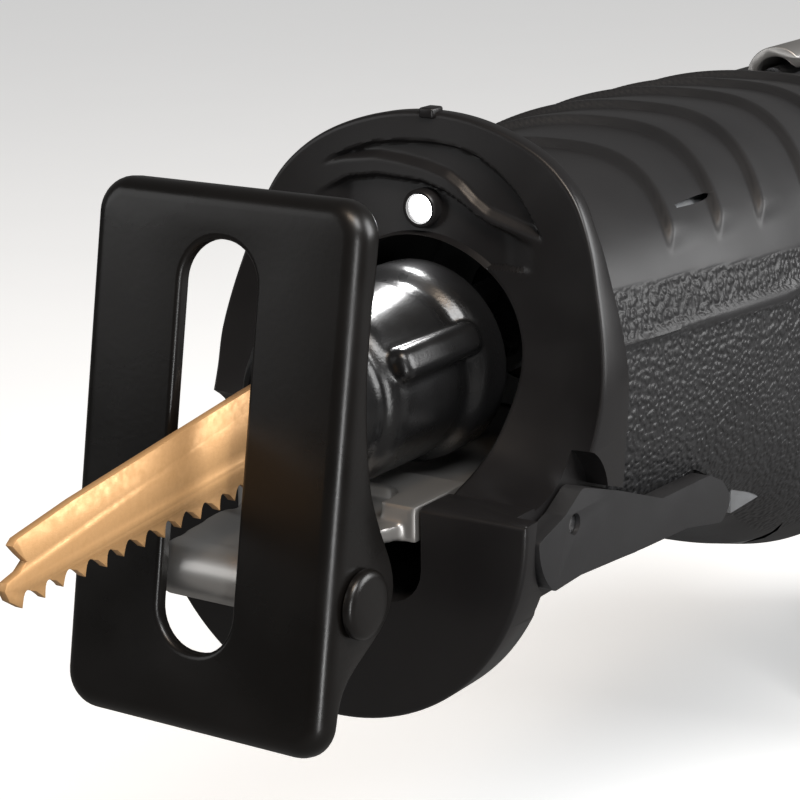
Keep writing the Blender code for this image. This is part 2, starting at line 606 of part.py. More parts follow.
def front_collar():
    """The flared rim round the clamp, joined to the U-shaped chin with the rail's notch."""
    def rim(x, z):
        return at(x, rim_depth(z), z)

    def rim_back(x, z):
        return set_back(towards_mouth(x, z, 0.04), min(rim_depth(z) + 5, 60.4))

    def neck(x, z):
        return set_back(towards_mouth(x, z, 0.45), 60.6)

    def mouth_back(x, z):
        return set_back(towards_mouth(x, z, 1.0), 60.6)

    def mouth(x, z):
        return set_back(towards_mouth(x, z, 1.0), min(rim_depth(z) + 3, 57))

    def dish(x, z):
        return set_back(towards_mouth(x, z, 0.2), rim_depth(z) + 1.5)

    stations = (rim, rim_back, neck, mouth_back, mouth, dish)
    collar = loft("front_collar", "rubber", nose_ring(stations), capped=False)
    centre = (0, CHIN_LOW + CHIN_HALF)
    outline = [(CHIN_HALF, CHIN_TOP), (-CHIN_HALF, CHIN_TOP), *arc(centre, CHIN_HALF, 180, 360, 20)]
    chin = plate("chin", None, "Y", (CHIN_FRONT, CHIN_REAR), outline)
    bridge = box("chin_bridge", None, (-26.3, 26.3), (CHIN_REAR - 5, 60.1), (-31.7, CHIN_TOP - 1))
    notch_outline = rounded(rectangle(CHIN_NOTCH_HALF, CHIN_NOTCH_LOW, 0), 6)
    notch = plate("chin_notch", None, "Y", (20, 70), notch_outline)
    led_hole = rod("led_hole", None, "Y", (0, 0, LED_Z), LED_RADIUS + GAP, (50, 70), 16)
    mouth_way = rod("mouth_way", None, "Y", (0, 0, CLAMP_AXIS_Z), MOUTH_RADIUS - 0.8, (20, 70), 36)
    cut(join(collar, chin, bridge), mouth_way, notch, led_hole, *lever_pockets("collar"))
    for side in (-1, 1):
        axis, pin_span = (0, LEVER_Y, LEVER_Z), sorted((side * 28.7, side * 40))
        sweep_span = sorted((side * (LEVER_IN - 0.5), side * 50))
        cut(collar, rod(f"collar_pin_bore_{side}", None, "X", axis, LEVER_PIN + GAP, pin_span, 12),
            rod(f"collar_nose_sweep_{side}", None, "X", axis, LEVER_NOSE + 0.5, sweep_span, 24),
            box(f"collar_arm_sweep_{side}", None, sweep_span, (37.9, 61), (-34, -17)))


def boot_section(y, half, top, low, count=32):
    """A rounded cross-section, flatter at the sides than an ellipse."""
    middle = (top + low) / 2
    ring = []
    for i in range(count):
        angle = math.tau * i / count
        c, s = math.cos(angle), math.sin(angle)
        x = math.copysign(abs(c) ** 0.62, c) * half
        z = middle + math.copysign(abs(s) ** 0.8, s) * (top - low) / 2
        ring.append(at(x, y, z))
    return ring


BOOT_SECTIONS = ((BOOT_FRONT, 31.5, 27.5, -33.5), (75, 33.5, 28.0, -34.5), (102, 37.0, 30.3, -37.5),
                 (117, 38.2, 31.5, -42.0), (130, 39.0, 32.5, -49.0), (150, 40.0, 32.3, -55.0),
                 (173, 40.5, 31.5, -57.0), (BOOT_REAR, 40.3, 31.0, -56.5))


def lever_pockets(name):
    """Cutters that leave room for the lever's two arms."""
    return [plate(f"{name}_lever_pocket_{side}", None, "X", sorted((side * (LEVER_IN - 0.5), side * 50)),
                  lever_side(0.6)) for side in (-1, 1)]


def insulation_boot():
    """The rubber cover over the gearbox, with its bores and the lever's pockets."""
    boot = loft("insulation_boot", "rubber", [boot_section(*row) for row in BOOT_SECTIONS])
    clear = 0.4
    tools = [rod("boot_mouth", None, "Y", (0, 0, CLAMP_AXIS_Z), 20.5, (50, 93), 32),
             box("boot_rail_way", None, (-17.2, 17.2), (50, 93), (RAIL_LOW - 0.8, -12.0)),
             plate("boot_gearbox_low", None, "Y", (135.6, 200), spread(gearbox_section(True), 0.4, 3)),
             plate("boot_gearbox_high", None, "Y", (107.6, 200), spread(gearbox_section(False), 0.7, 3)),
             box("boot_gearbox_waist", None, (-27.5 - clear, 27.5 + clear), (91.6, 140), (-33.9, 23.9)),
             box("boot_gearbox_shoulder", None, (-31.2, 31.2), (107.8, 142), (-33.7, 10))]
    cut(boot, *tools, *lever_pockets("boot"))


def lever_side(grow=0.0):
    """The lever's outline from the side; grow widens it into the pocket it lies in."""
    return [(46.5, -11.4 + grow), (58, -15 + grow), (73, -20.4 + grow), (90, -21.1 + grow), (95, -23.4 + grow),
            (99 + grow, -27.6), (95, -30.7 - grow), (82, -28 - grow), (67, -27 - grow), (46, -25.2 - grow),
            *arc((LEVER_Y, LEVER_Z), LEVER_NOSE + grow, 236, 180, 5), (41 - grow, -14.4 + grow)]


def lever_band(shrink):
    """Half of the bar's outline, down from the arm to the flat under the belly."""
    (flat, low), (arm, shoulder) = LEVER_BAR
    return [(arm - shrink, -24.0), (arm - shrink, shoulder), (flat, low + shrink)]


def shoe_lever():
    """Two arms beside the nose, joined under the belly by a thumb bar."""
    right = plate("shoe_lock_lever", "black_plastic", "X", (LEVER_IN, LEVER_OUT), lever_side())
    left = plate("lever_arm_left", None, "X", (-LEVER_OUT, -LEVER_IN), lever_side())
    outer, inner = lever_band(0), lever_band(LEVER_OUT - LEVER_IN + 0.1)
    band = [*outer, *[(-x, z) for x, z in outer[::-1]], *[(-x, z) for x, z in inner], *inner[::-1]]
    join(right, left, plate("lever_bar", None, "Y", (66, 80), band))
    for side in (-1, 1):
        tool = rod(f"lever_bore_{side}", None, "X", (0, LEVER_Y, LEVER_Z), LEVER_PIN + GAP,
                   sorted((side * 30, side * 40)), 12)
        cut(right, tool)
        ends = sorted((side * 29.0, side * (LEVER_OUT - 0.8)))
        name = "lever_pin_left" if side > 0 else "lever_pin_right"
        rod(name, "bright_steel", "X", (0, LEVER_Y, LEVER_Z), LEVER_PIN, ends, 12)
    jointed("lever_joint", (0, LEVER_Y, LEVER_Z), right)


def lamp():
    """The lens in the rim and the holder behind it."""
    turned("led_lens", "lens", "Y", (0, 0, LED_Z),
           [(0, LED_Y + 2), (LED_RADIUS, LED_Y + 2), (LED_RADIUS, LED_Y), (LED_RADIUS * 0.7, LED_Y - 1.2),
            (0, LED_Y - 1.7)], 16)
    rod("led_holder", "black_plastic", "Y", (0, 0, LED_Z), LED_RADIUS, (LED_Y + 2.3, LED_Y + 3.4), 16)


# ---------------------------------------------------------------- rear housing and controls

def barrel_rings(grow):
    """The motor barrel's sections; grow is negative for its inside."""
    rows = ((BARREL_FRONT, 38.0, 31.0, -56.0), (215, 38.0, 31.0, -56.0), (262, 37.0, 30.5, -54.5),
            (292, 35.0, 29.5, -52.5), (BARREL_REAR, 30.0, 27.0, -49.0))
    slack = 0 if grow == 0 else 1
    ends = {0: -slack, len(rows) - 1: -WALL * slack}
    return [boot_section(y + ends.get(i, 0), half + grow, top + grow, low - grow, 28)
            for i, (y, half, top, low) in enumerate(rows)]


def screw_columns(name, radius, span_of):
    """A cylinder on every housing screw's axis, as one tool."""
    bm = bmesh.new()
    for y, z, reach in SCREWS:
        start, end = sorted(span_of(reach))
        middle = at((start + end) / 2, y, z)
        bmesh.ops.create_cone(bm, cap_ends=True, segments=8, radius1=radius * MM, radius2=radius * MM,
                              depth=(end - start) * MM, matrix=Matrix.Translation(middle) @ facing("X"))
    return piece_of(name, bm, None)


def housing_half(name, side):
    """One clamshell: motor barrel, D-handle and battery base, hollowed out."""
    def tool(suffix):
        return f"{name}_{suffix}"

    shell = loft(name, "black_plastic", barrel_rings(0))
    loop = plate(tool("loop"), None, "X", (-GRIP_HALF, GRIP_HALF), rounded(HANDLE_OUTLINE, 12, 3),
                 holes=[rounded(FINGER_GAP, 11, 3)])
    base = soften(box(tool("base"), None, (-BASE_HALF, BASE_HALF), (321, 440), (BASE_LOW, BASE_TOP)), 6, 3)
    barrel_room = loft(tool("barrel_room"), None, barrel_rings(-WALL))
    grip_room = plate(tool("grip_room"), None, "X", (-GRIP_HALF + WALL, GRIP_HALF - WALL),
                      rounded(GRIP_ROOM, 4, 2))
    base_inner = BASE_HALF - WALL
    base_room = box(tool("base_room"), None, (-base_inner, base_inner), (326, 436), (-108.5, -95))
    channel = box(tool("channel"), None, (-25, 25), (325.5, 450), (-120, -105.5))
    trigger_way = box(tool("trigger_way"), None, (-8.6, 8.6), (358, 396), (-43, 0.5))
    bolt_way = rod(tool("bolt_way"), None, "X", (0, 382.5, 12), 5.4, (-30, 30), 12)
    hook_way = rod(tool("hook_way"), None, "Y", (0, 0, HOOK_Z), HOOK_OUTER + 1.0, (180, HOOK_REAR + 1), 20)
    hook_bore = rod(tool("hook_bore"), None, "Y", (0, 0, HOOK_Z), HOOK_PIN_RADIUS + GAP, (180, 226), 16)
    bearing_way = rod(tool("bearing_way"), None, "Y", (0, 0, MOTOR_Z), 11.4, (180, 194), 20)
    hook_seat = box(tool("hook_seat"), None, (-9.5, 9.5), (189, 228), (20.5, 31.5))
    other_half = box(tool("other_half"), None, sorted((-side * 80, side * GAP / 2)), (150, 500), (-200, 80))
    join(shell, loop, base)
    cut(shell, barrel_room, grip_room, base_room)
    bosses = screw_columns(tool("bosses"), 5.6, lambda reach: (-side, side * reach))
    shank_bores = screw_columns(tool("shank_bores"), SCREW_SHANK + GAP, lambda reach: (-9, SCREW_SEAT + 0.5))
    head_bores = screw_columns(tool("head_bores"), SCREW_HEAD + 0.4, lambda reach: (SCREW_SEAT, 45))
    join(shell, hook_seat, bosses)
    cut(shell, channel, trigger_way, bolt_way, hook_way, hook_bore, bearing_way, shank_bores)
    cut(shell, *([head_bores] if side > 0 else []), other_half)
    return shell


def housing():
    """Both halves, their screws and the rubber strip down the back of the grip."""
    housing_half("housing_left", 1)
    housing_half("housing_right", -1)
    crown, seat = SCREW_SEAT + 3.2, SCREW_SEAT + GAP
    for i, (y, z, _) in enumerate(SCREWS):
        turned(f"housing_screw_{i + 1}", "zinc", "X", (0, y, z),
               [(0, crown), (SCREW_HEAD - 0.6, crown), (SCREW_HEAD, crown - 0.8), (SCREW_HEAD, seat),
                (SCREW_SHANK, seat), (SCREW_SHANK, SCREW_TIP + 1.5), (0, SCREW_TIP)], 8)
    skin = [(408.8, 10), (431.6, -60), (433.8, -59.4), (411.2, 11)]
    soften(plate("rear_grip", "rubber", "X", (-13, 13), skin), 0.6, 1)


def controls():
    trigger = plate("trigger", "grey_plastic", "X", (-8, 8),
                    [(374.5, -1), (385, -1), (389, -20), (389, -42), (381, -42), (370.5, -30), (367.5, -16)])
    soften(trigger, 1.5)
    cut(trigger, rod("trigger_bore", None, "Y", (0, 0, -26), 4.0, (379, 400), 16))
    jointed("trigger_joint", (0, 380, -20), trigger)
    coil("trigger_spring", "bright_steel", "Y", (0, 0, -26), 2.8, 0.5, (387.0, 396.4), 4)
    box("switch_module", "black_plastic", (-10, 10), (397.2, 408), (-44, -4))
    bolt = rod("lock_off_button", "grey_plastic", "X", (0, 382.5, 12), 5.0, (-17.0, 20.0), 12)
    jointed("lock_off_joint", (0, 382.5, 12), bolt)
    box("controller_board", "board", (-23, 23), (345, 425), (-100.5, -97.5))
    box("battery_terminal", "grey_plastic", (-15, 15), (346, 370), (-111.2, -105.8))


# ---------------------------------------------------------------- battery and hook

def battery():
    upper = box("battery_case_upper", "black_plastic", (-BATTERY_HALF, BATTERY_HALF),
                (BATTERY_FRONT, BATTERY_REAR), (BATTERY_SPLIT + GAP / 2, BATTERY_TOP))
    soften(upper, 4, 2)
    tongue = box("battery_tongue", None, (-24.6, 24.6), (BATTERY_FRONT + 2, 434), (-118, -106))
    upper_room = box("battery_upper_room", None, (-34.5, 34.5), (329, 437), (-140, -116))
    contact_way = box("battery_contact_way", None, (-16, 16), (300, 372), (-111.8, -100))
    latch_way = box("battery_latch_way", None, (-12.4, 12.4), (435.5, 450), (-129, -111))
    cut(join(cut(upper, upper_room), tongue), contact_way, latch_way)
    lower = box("battery_case_lower", "black_plastic", (-BATTERY_HALF, BATTERY_HALF),
                (BATTERY_FRONT, BATTERY_REAR), (BATTERY_LOW, BATTERY_SPLIT - GAP / 2))
    soften(lower, 4, 2)
    lower_room = box("battery_lower_room", None, (-34.5, 34.5), (329, 437), (-165, -120))
    button_way = rod("charge_button_way", None, "Y", (20, 0, -150), 3.3, (430, 450), 12)
    cut(lower, lower_room, button_way)
    cells = box("cell_block", "grey_plastic", (-28, 28), (336, 430), (-158, -132))
    for row in range(2):
        for column in range(5):
            centre = (0, 345.2 + CELL_PITCH * column, -154.5 + CELL_PITCH * row)
            join(cells, rod(f"cell_{row}_{column}", None, "X", centre, CELL_RADIUS, (-32.5, 32.5), 8))
    latch = soften(box("battery_latch", "grey_plastic", (-12, 12), (435.9, 440.8), (-126, -112.9)), 0.8, 1)
    spring = coil("latch_spring", "bright_steel", "Z", (0, 431.3, 0), 2.2, 0.45, (-130, -121), 4)
    button = rod("charge_button", "grey_plastic", "Y", (20, 0, -150), 3.0, (436, 441.2), 12)
    jointed("battery_joint", (0, BATTERY_FRONT, BATTERY_TOP), upper, lower, cells, spring)
    jointed("latch_joint", (0, BATTERY_REAR, -120), latch)
    jointed("charge_button_joint", (20, BATTERY_REAR, -150), button)


def hook_path():
    """The strip's middle line from the front: an arch over the rod, then over the shoulder."""
    mid = HOOK_OUTER - HOOK_SHEET / 2
    arch = [(x, z) for x, z in arc((0, HOOK_Z), mid, 200, 40, 9)]
    return arch + [(9.5, 33.9), (20, 33.2), (28, 29.6), (34.5, 22.5), (38.2, 12.0), (39.4, 2.0)]


def rafter_hook():
    """A bent steel strip that swings about the rod along the top of the barrel."""
    path = [Vector(place) for place in hook_path()]
    outer, inner = [], []
    for i, place in enumerate(path):
        way = (path[min(i + 1, len(path) - 1)] - path[max(i - 1, 0)]).normalized()
        side = Vector((-way.y, way.x)) * HOOK_SHEET / 2
        outer.append(tuple(place + side))
        inner.append(tuple(place - side))
    strip = plate("rafter_hook", "phosphated_steel", "Y", (HOOK_FRONT, HOOK_REAR), outer + inner[::-1])
    jointed("hook_joint", (0, HOOK_FRONT, HOOK_Z), strip)
    rod("hook_pin", "bright_steel", "Y", (0, 0, HOOK_Z), HOOK_PIN_RADIUS, (188.5, 225), 16)


def main():
    for obj in list(bpy.data.objects):
        bpy.data.objects.remove(obj)
    jointed("shoe_joint", (0, PIVOT_Y, PIVOT_Z), shoe(), pivot_pin())
    jointed("rail_joint", (0, RAIL_FRONT, RAIL_LOW), shoe_rail())
    blade_and_clamp()
    crank_drive()
    motor()
    gearbox()
    front_collar()
    insulation_boot()
    shoe_lever()
    lamp()
    housing()
    controls()
    battery()
    rafter_hook()


main()
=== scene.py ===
"""Looks of the cordless reciprocating saw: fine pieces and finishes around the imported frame."""
import json
import logging
import math
from collections.abc import Callable, Iterable, Sequence
from dataclasses import dataclass
from enum import Enum

import bmesh
import bpy
import numpy as np
from mathutils import Matrix, Vector


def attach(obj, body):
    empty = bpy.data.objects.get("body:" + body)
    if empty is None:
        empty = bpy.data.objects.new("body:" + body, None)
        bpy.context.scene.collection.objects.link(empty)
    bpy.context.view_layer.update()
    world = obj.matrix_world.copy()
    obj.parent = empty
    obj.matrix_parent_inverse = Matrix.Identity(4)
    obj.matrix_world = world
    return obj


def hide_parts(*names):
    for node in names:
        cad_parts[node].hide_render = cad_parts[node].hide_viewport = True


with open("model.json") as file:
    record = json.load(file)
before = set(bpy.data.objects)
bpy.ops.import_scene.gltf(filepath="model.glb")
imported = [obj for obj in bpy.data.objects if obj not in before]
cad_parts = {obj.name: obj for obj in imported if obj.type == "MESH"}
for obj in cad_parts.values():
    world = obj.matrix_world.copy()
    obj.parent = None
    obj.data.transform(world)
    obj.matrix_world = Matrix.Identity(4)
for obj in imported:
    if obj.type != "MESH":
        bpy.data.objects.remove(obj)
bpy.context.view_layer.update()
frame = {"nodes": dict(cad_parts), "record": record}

MM = 0.001
# The shoe's hinge, behind its face and from the blade's axis; the table that the saw stands on.
HINGE = (3.9, -18.8)
TABLE_Z = -168.0
LOG = logging.getLogger("saw")
Piece = bpy.types.Object
Tree = bpy.types.NodeTree
Socket = bpy.types.NodeSocket
Pair = tuple[float, float]
Place = tuple[float, float, float]
Outline = list[Pair]
Rows = tuple[Pair, ...]


class Axis(Enum):
    """The direction that a turned or extruded piece runs along."""

    X = 0
    Y = 1
    Z = 2

    def turn(self) -> Matrix:
        """The rotation that lays local Z along this axis, and an outline across it."""
        columns = (((0, 1, 0), (0, 0, 1), (1, 0, 0)),
                   ((1, 0, 0), (0, 0, 1), (0, -1, 0)),
                   ((1, 0, 0), (0, 1, 0), (0, 0, 1)))[self.value]
        return Matrix(columns).transposed().to_4x4()


@dataclass(frozen=True)
class Datum:
    """Places on the saw in millimetres: x from its mid-plane, y behind the middle of the
    shoe's face, z above the blade's axis."""

    face_y: float
    axis_z: float

    @classmethod
    def of_frame(cls) -> "Datum":
        """Read the datum from the place of the shoe's hinge."""
        hinge = next(j for j in frame["record"]["behaviour"]["joints"] if j["name"] == "shoe_swing")
        return cls(hinge["pos_m"][1] / MM - HINGE[0], hinge["pos_m"][2] / MM - HINGE[1])

    def at(self, x: float, y: float, z: float) -> Vector:
        """The place in metres in the frame."""
        return Vector((x, y + self.face_y, z + self.axis_z)) * MM


DATUM = Datum.of_frame()


# ---------------------------------------------------------------- outlines

def arc(centre: Pair, radius: float, start: float, end: float, steps: int) -> Outline:
    """Places on a circle.

    Args:
        centre: The circle's centre.
        radius: Its radius.
        start: The first angle, in degrees.
        end: The last angle.
        steps: How many parts the arc has.

    Returns:
        The places, first and last included.
    """
    angles = [math.radians(start + (end - start) * k / steps) for k in range(steps + 1)]
    return [(centre[0] + radius * math.cos(a), centre[1] + radius * math.sin(a)) for a in angles]


# How much of a side one of its two corner arcs may take.
SHARE_OF_SIDE = 0.49


def rounded(outline: Outline, radius: float, steps: int = 6) -> Outline:
    """An outline with its corners turned into arcs.

    Args:
        outline: The corners in order.
        radius: The largest arc radius.
        steps: Parts in each arc.

    Returns:
        The rounded outline.
    """
    result: Outline = []
    for i, corner in enumerate(outline):
        here = Vector(corner)
        before = Vector(outline[i - 1]) - here
        after = Vector(outline[(i + 1) % len(outline)]) - here
        half = before.angle(after) / 2
        reach = min(radius / math.tan(half), before.length * SHARE_OF_SIDE,
                    after.length * SHARE_OF_SIDE)
        fillet = reach * math.tan(half)
        centre = here + (before.normalized() + after.normalized()).normalized() * fillet / math.sin(half)
        first = here + before.normalized() * reach - centre
        sweep = first.angle_signed(here + after.normalized() * reach - centre)
        result += [tuple(centre + Matrix.Rotation(-sweep * k / steps,
                                                  2) @ first) for k in range(steps + 1)]
    return result


def rectangle(half: float, low: float, high: float) -> Outline:
    """A rectangle about the mid-plane, anticlockwise from its lower left corner."""
    return [(-half, low), (half, low), (half, high), (-half, high)]


# ---------------------------------------------------------------- mesh tools

def object_of(name: str, bm: bmesh.types.BMesh, smooth: float = 35.0) -> Piece:
    """Turn a bmesh into an object at the origin.

    Args:
        name: The object's name.
        bm: The mesh in metres in the frame; it is freed.
        smooth: The angle in degrees past which an edge stays sharp.

    Returns:
        The new object.
    """
    bmesh.ops.recalc_face_normals(bm, faces=bm.faces)
    mesh = bpy.data.meshes.new(name)
    bm.to_mesh(mesh)
    bm.free()
    mesh.shade_smooth()
    mesh.set_sharp_from_angle(angle=math.radians(smooth))
    made = bpy.data.objects.new(name, mesh)
    bpy.context.scene.collection.objects.link(made)
    return made


def skin(name: str, rings: Sequence[Sequence[Sequence[float]]], closed: bool = False,
         smooth: float = 35.0) -> Piece:
    """A surface through rings of equally many places.

    Args:
        name: The object's name.
        rings: Places in millimetres on the saw, ring by ring.
        closed: Join the last ring to the first in place of two end caps.
        smooth: The angle in degrees past which an edge stays sharp.

    Returns:
        The new object.
    """
    grid = np.asarray(rings, float)
    count, around = grid.shape[:2]
    places = (grid.reshape(-1, 3) + (0, DATUM.face_y, DATUM.axis_z)) * MM
    rows = np.arange(count if closed else count - 1)[:, None]
    columns = np.arange(around)[None, :]
    after_row, after_column = (rows + 1) % count, (columns + 1) % around
    quads = np.stack([rows * around + columns, rows * around + after_column,
                      after_row * around + after_column, after_row * around + columns], axis=-1)
    faces = quads.reshape(-1, 4).tolist()
    if not closed:
        faces += [list(range(around)), list(range((count - 1) * around, count * around))]
    mesh = bpy.data.meshes.new(name)
    mesh.from_pydata(places.tolist(), [], faces)
    bm = bmesh.new()
    bm.from_mesh(mesh)
    bpy.data.meshes.remove(mesh)
    return object_of(name, bm, smooth)


def lathe(name: str, axis: Axis, centre: Place, profile: Outline,
          steps: int = 64, closed: bool = False) -> Piece:
    """A turned piece.

    Args:
        name: The object's name.
        axis: The direction of its axis.
        centre: A place on the axis; its coordinate along the axis isn't used.
        profile: (radius, place along the axis) pairs; radius 0 closes an end.
        steps: Parts round the circle.
        closed: Join the profile's end to its start, as on a ring.

    Returns:
        The new object.
    """
    bm = bmesh.new()
    turn = axis.turn()
    sign = -1 if axis is Axis.Y else 1
    base = list(centre)
    base[axis.value] = 0.0
    rows = []
    for radius, along in profile:
        ring = []
        for k in range(1 if radius == 0 else steps):
            angle = math.tau * k / steps
            local = Vector((radius * math.cos(angle), radius * math.sin(angle), sign * along))
            ring.append(bm.verts.new((turn @ local) * MM + DATUM.at(*base)))
        rows.append(ring)
    pairs = list(zip(rows, rows[1:])) + ([(rows[-1], rows[0])] if closed else [])
    for one, two in pairs:
        for k in range(steps):
            j = (k + 1) % steps
            corners = [one[k % len(one)], one[j % len(one)], two[j % len(two)], two[k % len(two)]]
            bm.faces.new(list(dict.fromkeys(corners)))  # at a pole, two of the corners are one
    if not closed:
        for end in (rows[0], rows[-1]):
            if len(end) > 1:
                bm.faces.new(end)
    return object_of(name, bm)


def slab(name: str, axis: Axis, span: Pair, outline: Outline,
         bevel: float = 0.0, segments: int = 3) -> Piece:
    """An outline as thick as span, with its rim edges rounded.

    Args:
        name: The object's name.
        axis: The direction of its thickness.
        span: Its two faces' places along the axis.
        outline: Its corners in the two directions across the axis.
        bevel: The radius of the rounding round both faces.
        segments: Parts in the rounding.

    Returns:
        The new object.
    """
    bm = bmesh.new()
    turn = axis.turn()
    sign = -1 if axis is Axis.Y else 1
    zero = DATUM.at(0, 0, 0)
    bottom = [bm.verts.new((turn @ Vector((u, v, sign * span[0]))) * MM + zero) for u, v in outline]
    face = bm.faces.new(bottom)
    push = (turn @ Vector((0, 0, sign * (span[1] - span[0])))) * MM
    extruded = bmesh.ops.extrude_face_region(bm, geom=[face])
    top = [v for v in extruded["geom"] if isinstance(v, bmesh.types.BMVert)]
    bmesh.ops.translate(bm, vec=push, verts=top)
    if bevel:
        rim = [e for e in bm.edges if any(len(f.verts) > 4 or len(outline) == 4 for f in e.link_faces)]
        bmesh.ops.recalc_face_normals(bm, faces=bm.faces)
        bmesh.ops.bevel(bm, geom=rim, offset=bevel * MM, segments=segments, profile=0.5, affect="EDGES",
                        clamp_overlap=True)
    return object_of(name, bm)


def block(name: str, x: Pair, y: Pair, z: Pair,
          bevel: float = 0.0, segments: int = 3) -> Piece:
    """A box between two places, with rounded edges.

    Args:
        name: The object's name.
        x: Its two sides.
        y: Its front and its rear.
        z: Its bottom and its top.
        bevel: The edges' radius.
        segments: Parts in the rounding.

    Returns:
        The new object.
    """
    bm = bmesh.new()
    bmesh.ops.create_cube(bm, size=1)
    low, high = DATUM.at(x[0], y[0], z[0]), DATUM.at(x[1], y[1], z[1])
    bmesh.ops.scale(bm, vec=high - low, verts=bm.verts)
    bmesh.ops.translate(bm, vec=(low + high) / 2, verts=bm.verts)
    if bevel:
        bmesh.ops.bevel(bm, geom=bm.edges[:], offset=bevel * MM, segments=segments, profile=0.5,
                        affect="EDGES")
    return object_of(name, bm)


def rod(name: str, axis: Axis, centre: Place, radius: float,
        span: Pair, steps: int = 48) -> Piece:
    """A plain cylinder from span[0] to span[1] along the axis."""
    start, end = span
    return lathe(name, axis, centre, [(0, start), (radius, start), (radius, end), (0, end)], steps)


def settled(obj: Piece) -> Piece:
    """Apply the object's modifiers and its place, so that it lies at the origin."""
    graph = bpy.context.evaluated_depsgraph_get()
    mesh = bpy.data.meshes.new_from_object(obj.evaluated_get(graph))
    mesh.transform(obj.matrix_world)
    obj.modifiers.clear()
    obj.data = mesh
    obj.matrix_world = Matrix.Identity(4)
    return obj


class Work(Enum):
    """What a Boolean does to a solid."""

    ADD = "UNION"
    CUT = "DIFFERENCE"


def combined(obj: Piece, work: Work, tools: Iterable[Piece]) -> Piece:
    """Add tools to a solid or take them away, and remove them.

    Args:
        obj: The solid that stays.
        work: Whether the tools are added or cut away.
        tools: The solids that are used up.

    Returns:
        The solid.
    """
    for tool in tools:
        modifier = obj.modifiers.new("combine", "BOOLEAN")
        modifier.operation = work.value
        modifier.object = tool
        modifier.solver = "MANIFOLD"
        settled(obj)
        bpy.data.objects.remove(tool)
    return obj


def remeshed(obj: Piece, voxel: float, smoothing: int) -> Piece:
    """Rebuild a solid from even small faces and soften its inner and outer corners.

    Args:
        obj: The solid.
        voxel: The faces' size in millimetres.
        smoothing: How many times each place moves towards its neighbours' mean.

    Returns:
        The solid.
    """
    remesh = obj.modifiers.new("voxels", "REMESH")
    remesh.mode = "VOXEL"
    remesh.voxel_size = voxel * MM
    smooth = obj.modifiers.new("soften", "SMOOTH")
    smooth.factor = 0.5
    smooth.iterations = smoothing
    return finished_shading(settled(obj))


def finished_shading(obj: Piece, angle: float = 40.0) -> Piece:
    """Shade smooth, with edges past the angle in degrees left sharp."""
    obj.data.shade_smooth()
    obj.data.set_sharp_from_angle(angle=math.radians(angle))
    return obj


def eased(obj: Piece, width: float, segments: int = 2, angle: float = 40.0) -> Piece:
    """Round the edges that are sharper than the angle.

    Args:
        obj: The solid.
        width: The rounding's width in millimetres.
        segments: Parts in the rounding.
        angle: The angle in degrees past which an edge is rounded.

    Returns:
        The solid.
    """
    bevel = obj.modifiers.new("ease", "BEVEL")
    bevel.width = width * MM
    bevel.segments = segments
    bevel.limit_method = "ANGLE"
    bevel.angle_limit = math.radians(angle)
    bevel.harden_normals = False
    return finished_shading(settled(obj), 50)


# ---------------------------------------------------------------- finishes

def linear(colour: str) -> tuple[float, float, float, float]:
    """An sRGB hex colour as linear values with full alpha."""
    parts = [int(colour[i:i + 2], 16) / 255 for i in (1, 3, 5)]
    return (*(c / 12.92 if c <= 0.04045 else ((c + 0.055) / 1.055) ** 2.4 for c in parts), 1.0)


def add(tree: Tree, kind: str, inputs: dict | None = None, **settings: object) -> bpy.types.Node:
    """Add a node to a tree.

    Args:
        tree: The tree.
        kind: The node's type.
        inputs: Values or sockets for its inputs, by name or number.
        settings: Its other properties.

    Returns:
        The node.
    """
    made = tree.nodes.new(kind)
    for key, value in settings.items():
        setattr(made, key, value)
    for key, value in (inputs or {}).items():
        if isinstance(value, Socket):
            tree.links.new(value, made.inputs[key])
        else:
            made.inputs[key].default_value = value
    return made


# The part of a noise's range that most of it lies in, and the clear coats' roughness.
NOISE_MIDDLE = (0.35, 0.65)
COAT_ROUGHNESS = 0.12
# Scuffs: their direction, how far the noise is drawn out, width in mm, the band that shows, colour.
SCUFF_TURN = (0.5, 0.3, 0.9)
SCUFF_STRETCH = (1.0, 0.12, 0.5)
SCUFF_WIDTH = 1.1
SCUFF_BAND = (0.66, 0.72)
SCUFF_COLOUR = "#8c8a88"
# Rubbed edges: the size of their breaks in mm, the pointiness where they start and end, roughness.
WEAR_PATCH = 2.5
WEAR_EDGE = (0.52, 0.62)
RUBBED_ROUGHNESS = 0.3


def noise(tree: Tree, place: Socket, size: float, detail: float) -> bpy.types.Node:
    """A noise texture whose features are about size millimetres across."""
    return add(tree, "ShaderNodeTexNoise", {"Vector": place, "Scale": 1 / (size * MM),
                                            "Detail": detail})


def ramp(tree: Tree, value: Socket, span: Pair, result: Pair, **settings: object) -> Socket:
    """A value carried from one span to another and held at both ends."""
    numbers = {0: value, 1: span[0], 2: span[1], 3: result[0], 4: result[1]}
    return add(tree, "ShaderNodeMapRange", numbers, **settings).outputs[0]


def reckoned(tree: Tree, operation: str, one: Socket, two: Socket | float) -> Socket:
    """The result of one step of arithmetic."""
    return add(tree, "ShaderNodeMath", {0: one, 1: two}, operation=operation).outputs[0]


def blended(tree: Tree, share: Socket, one: object, two: object) -> Socket:
    """One colour turned into another by a share."""
    return add(tree, "ShaderNodeMix", {"Factor": share, 6: one, 7: two}, data_type="RGBA").outputs[2]


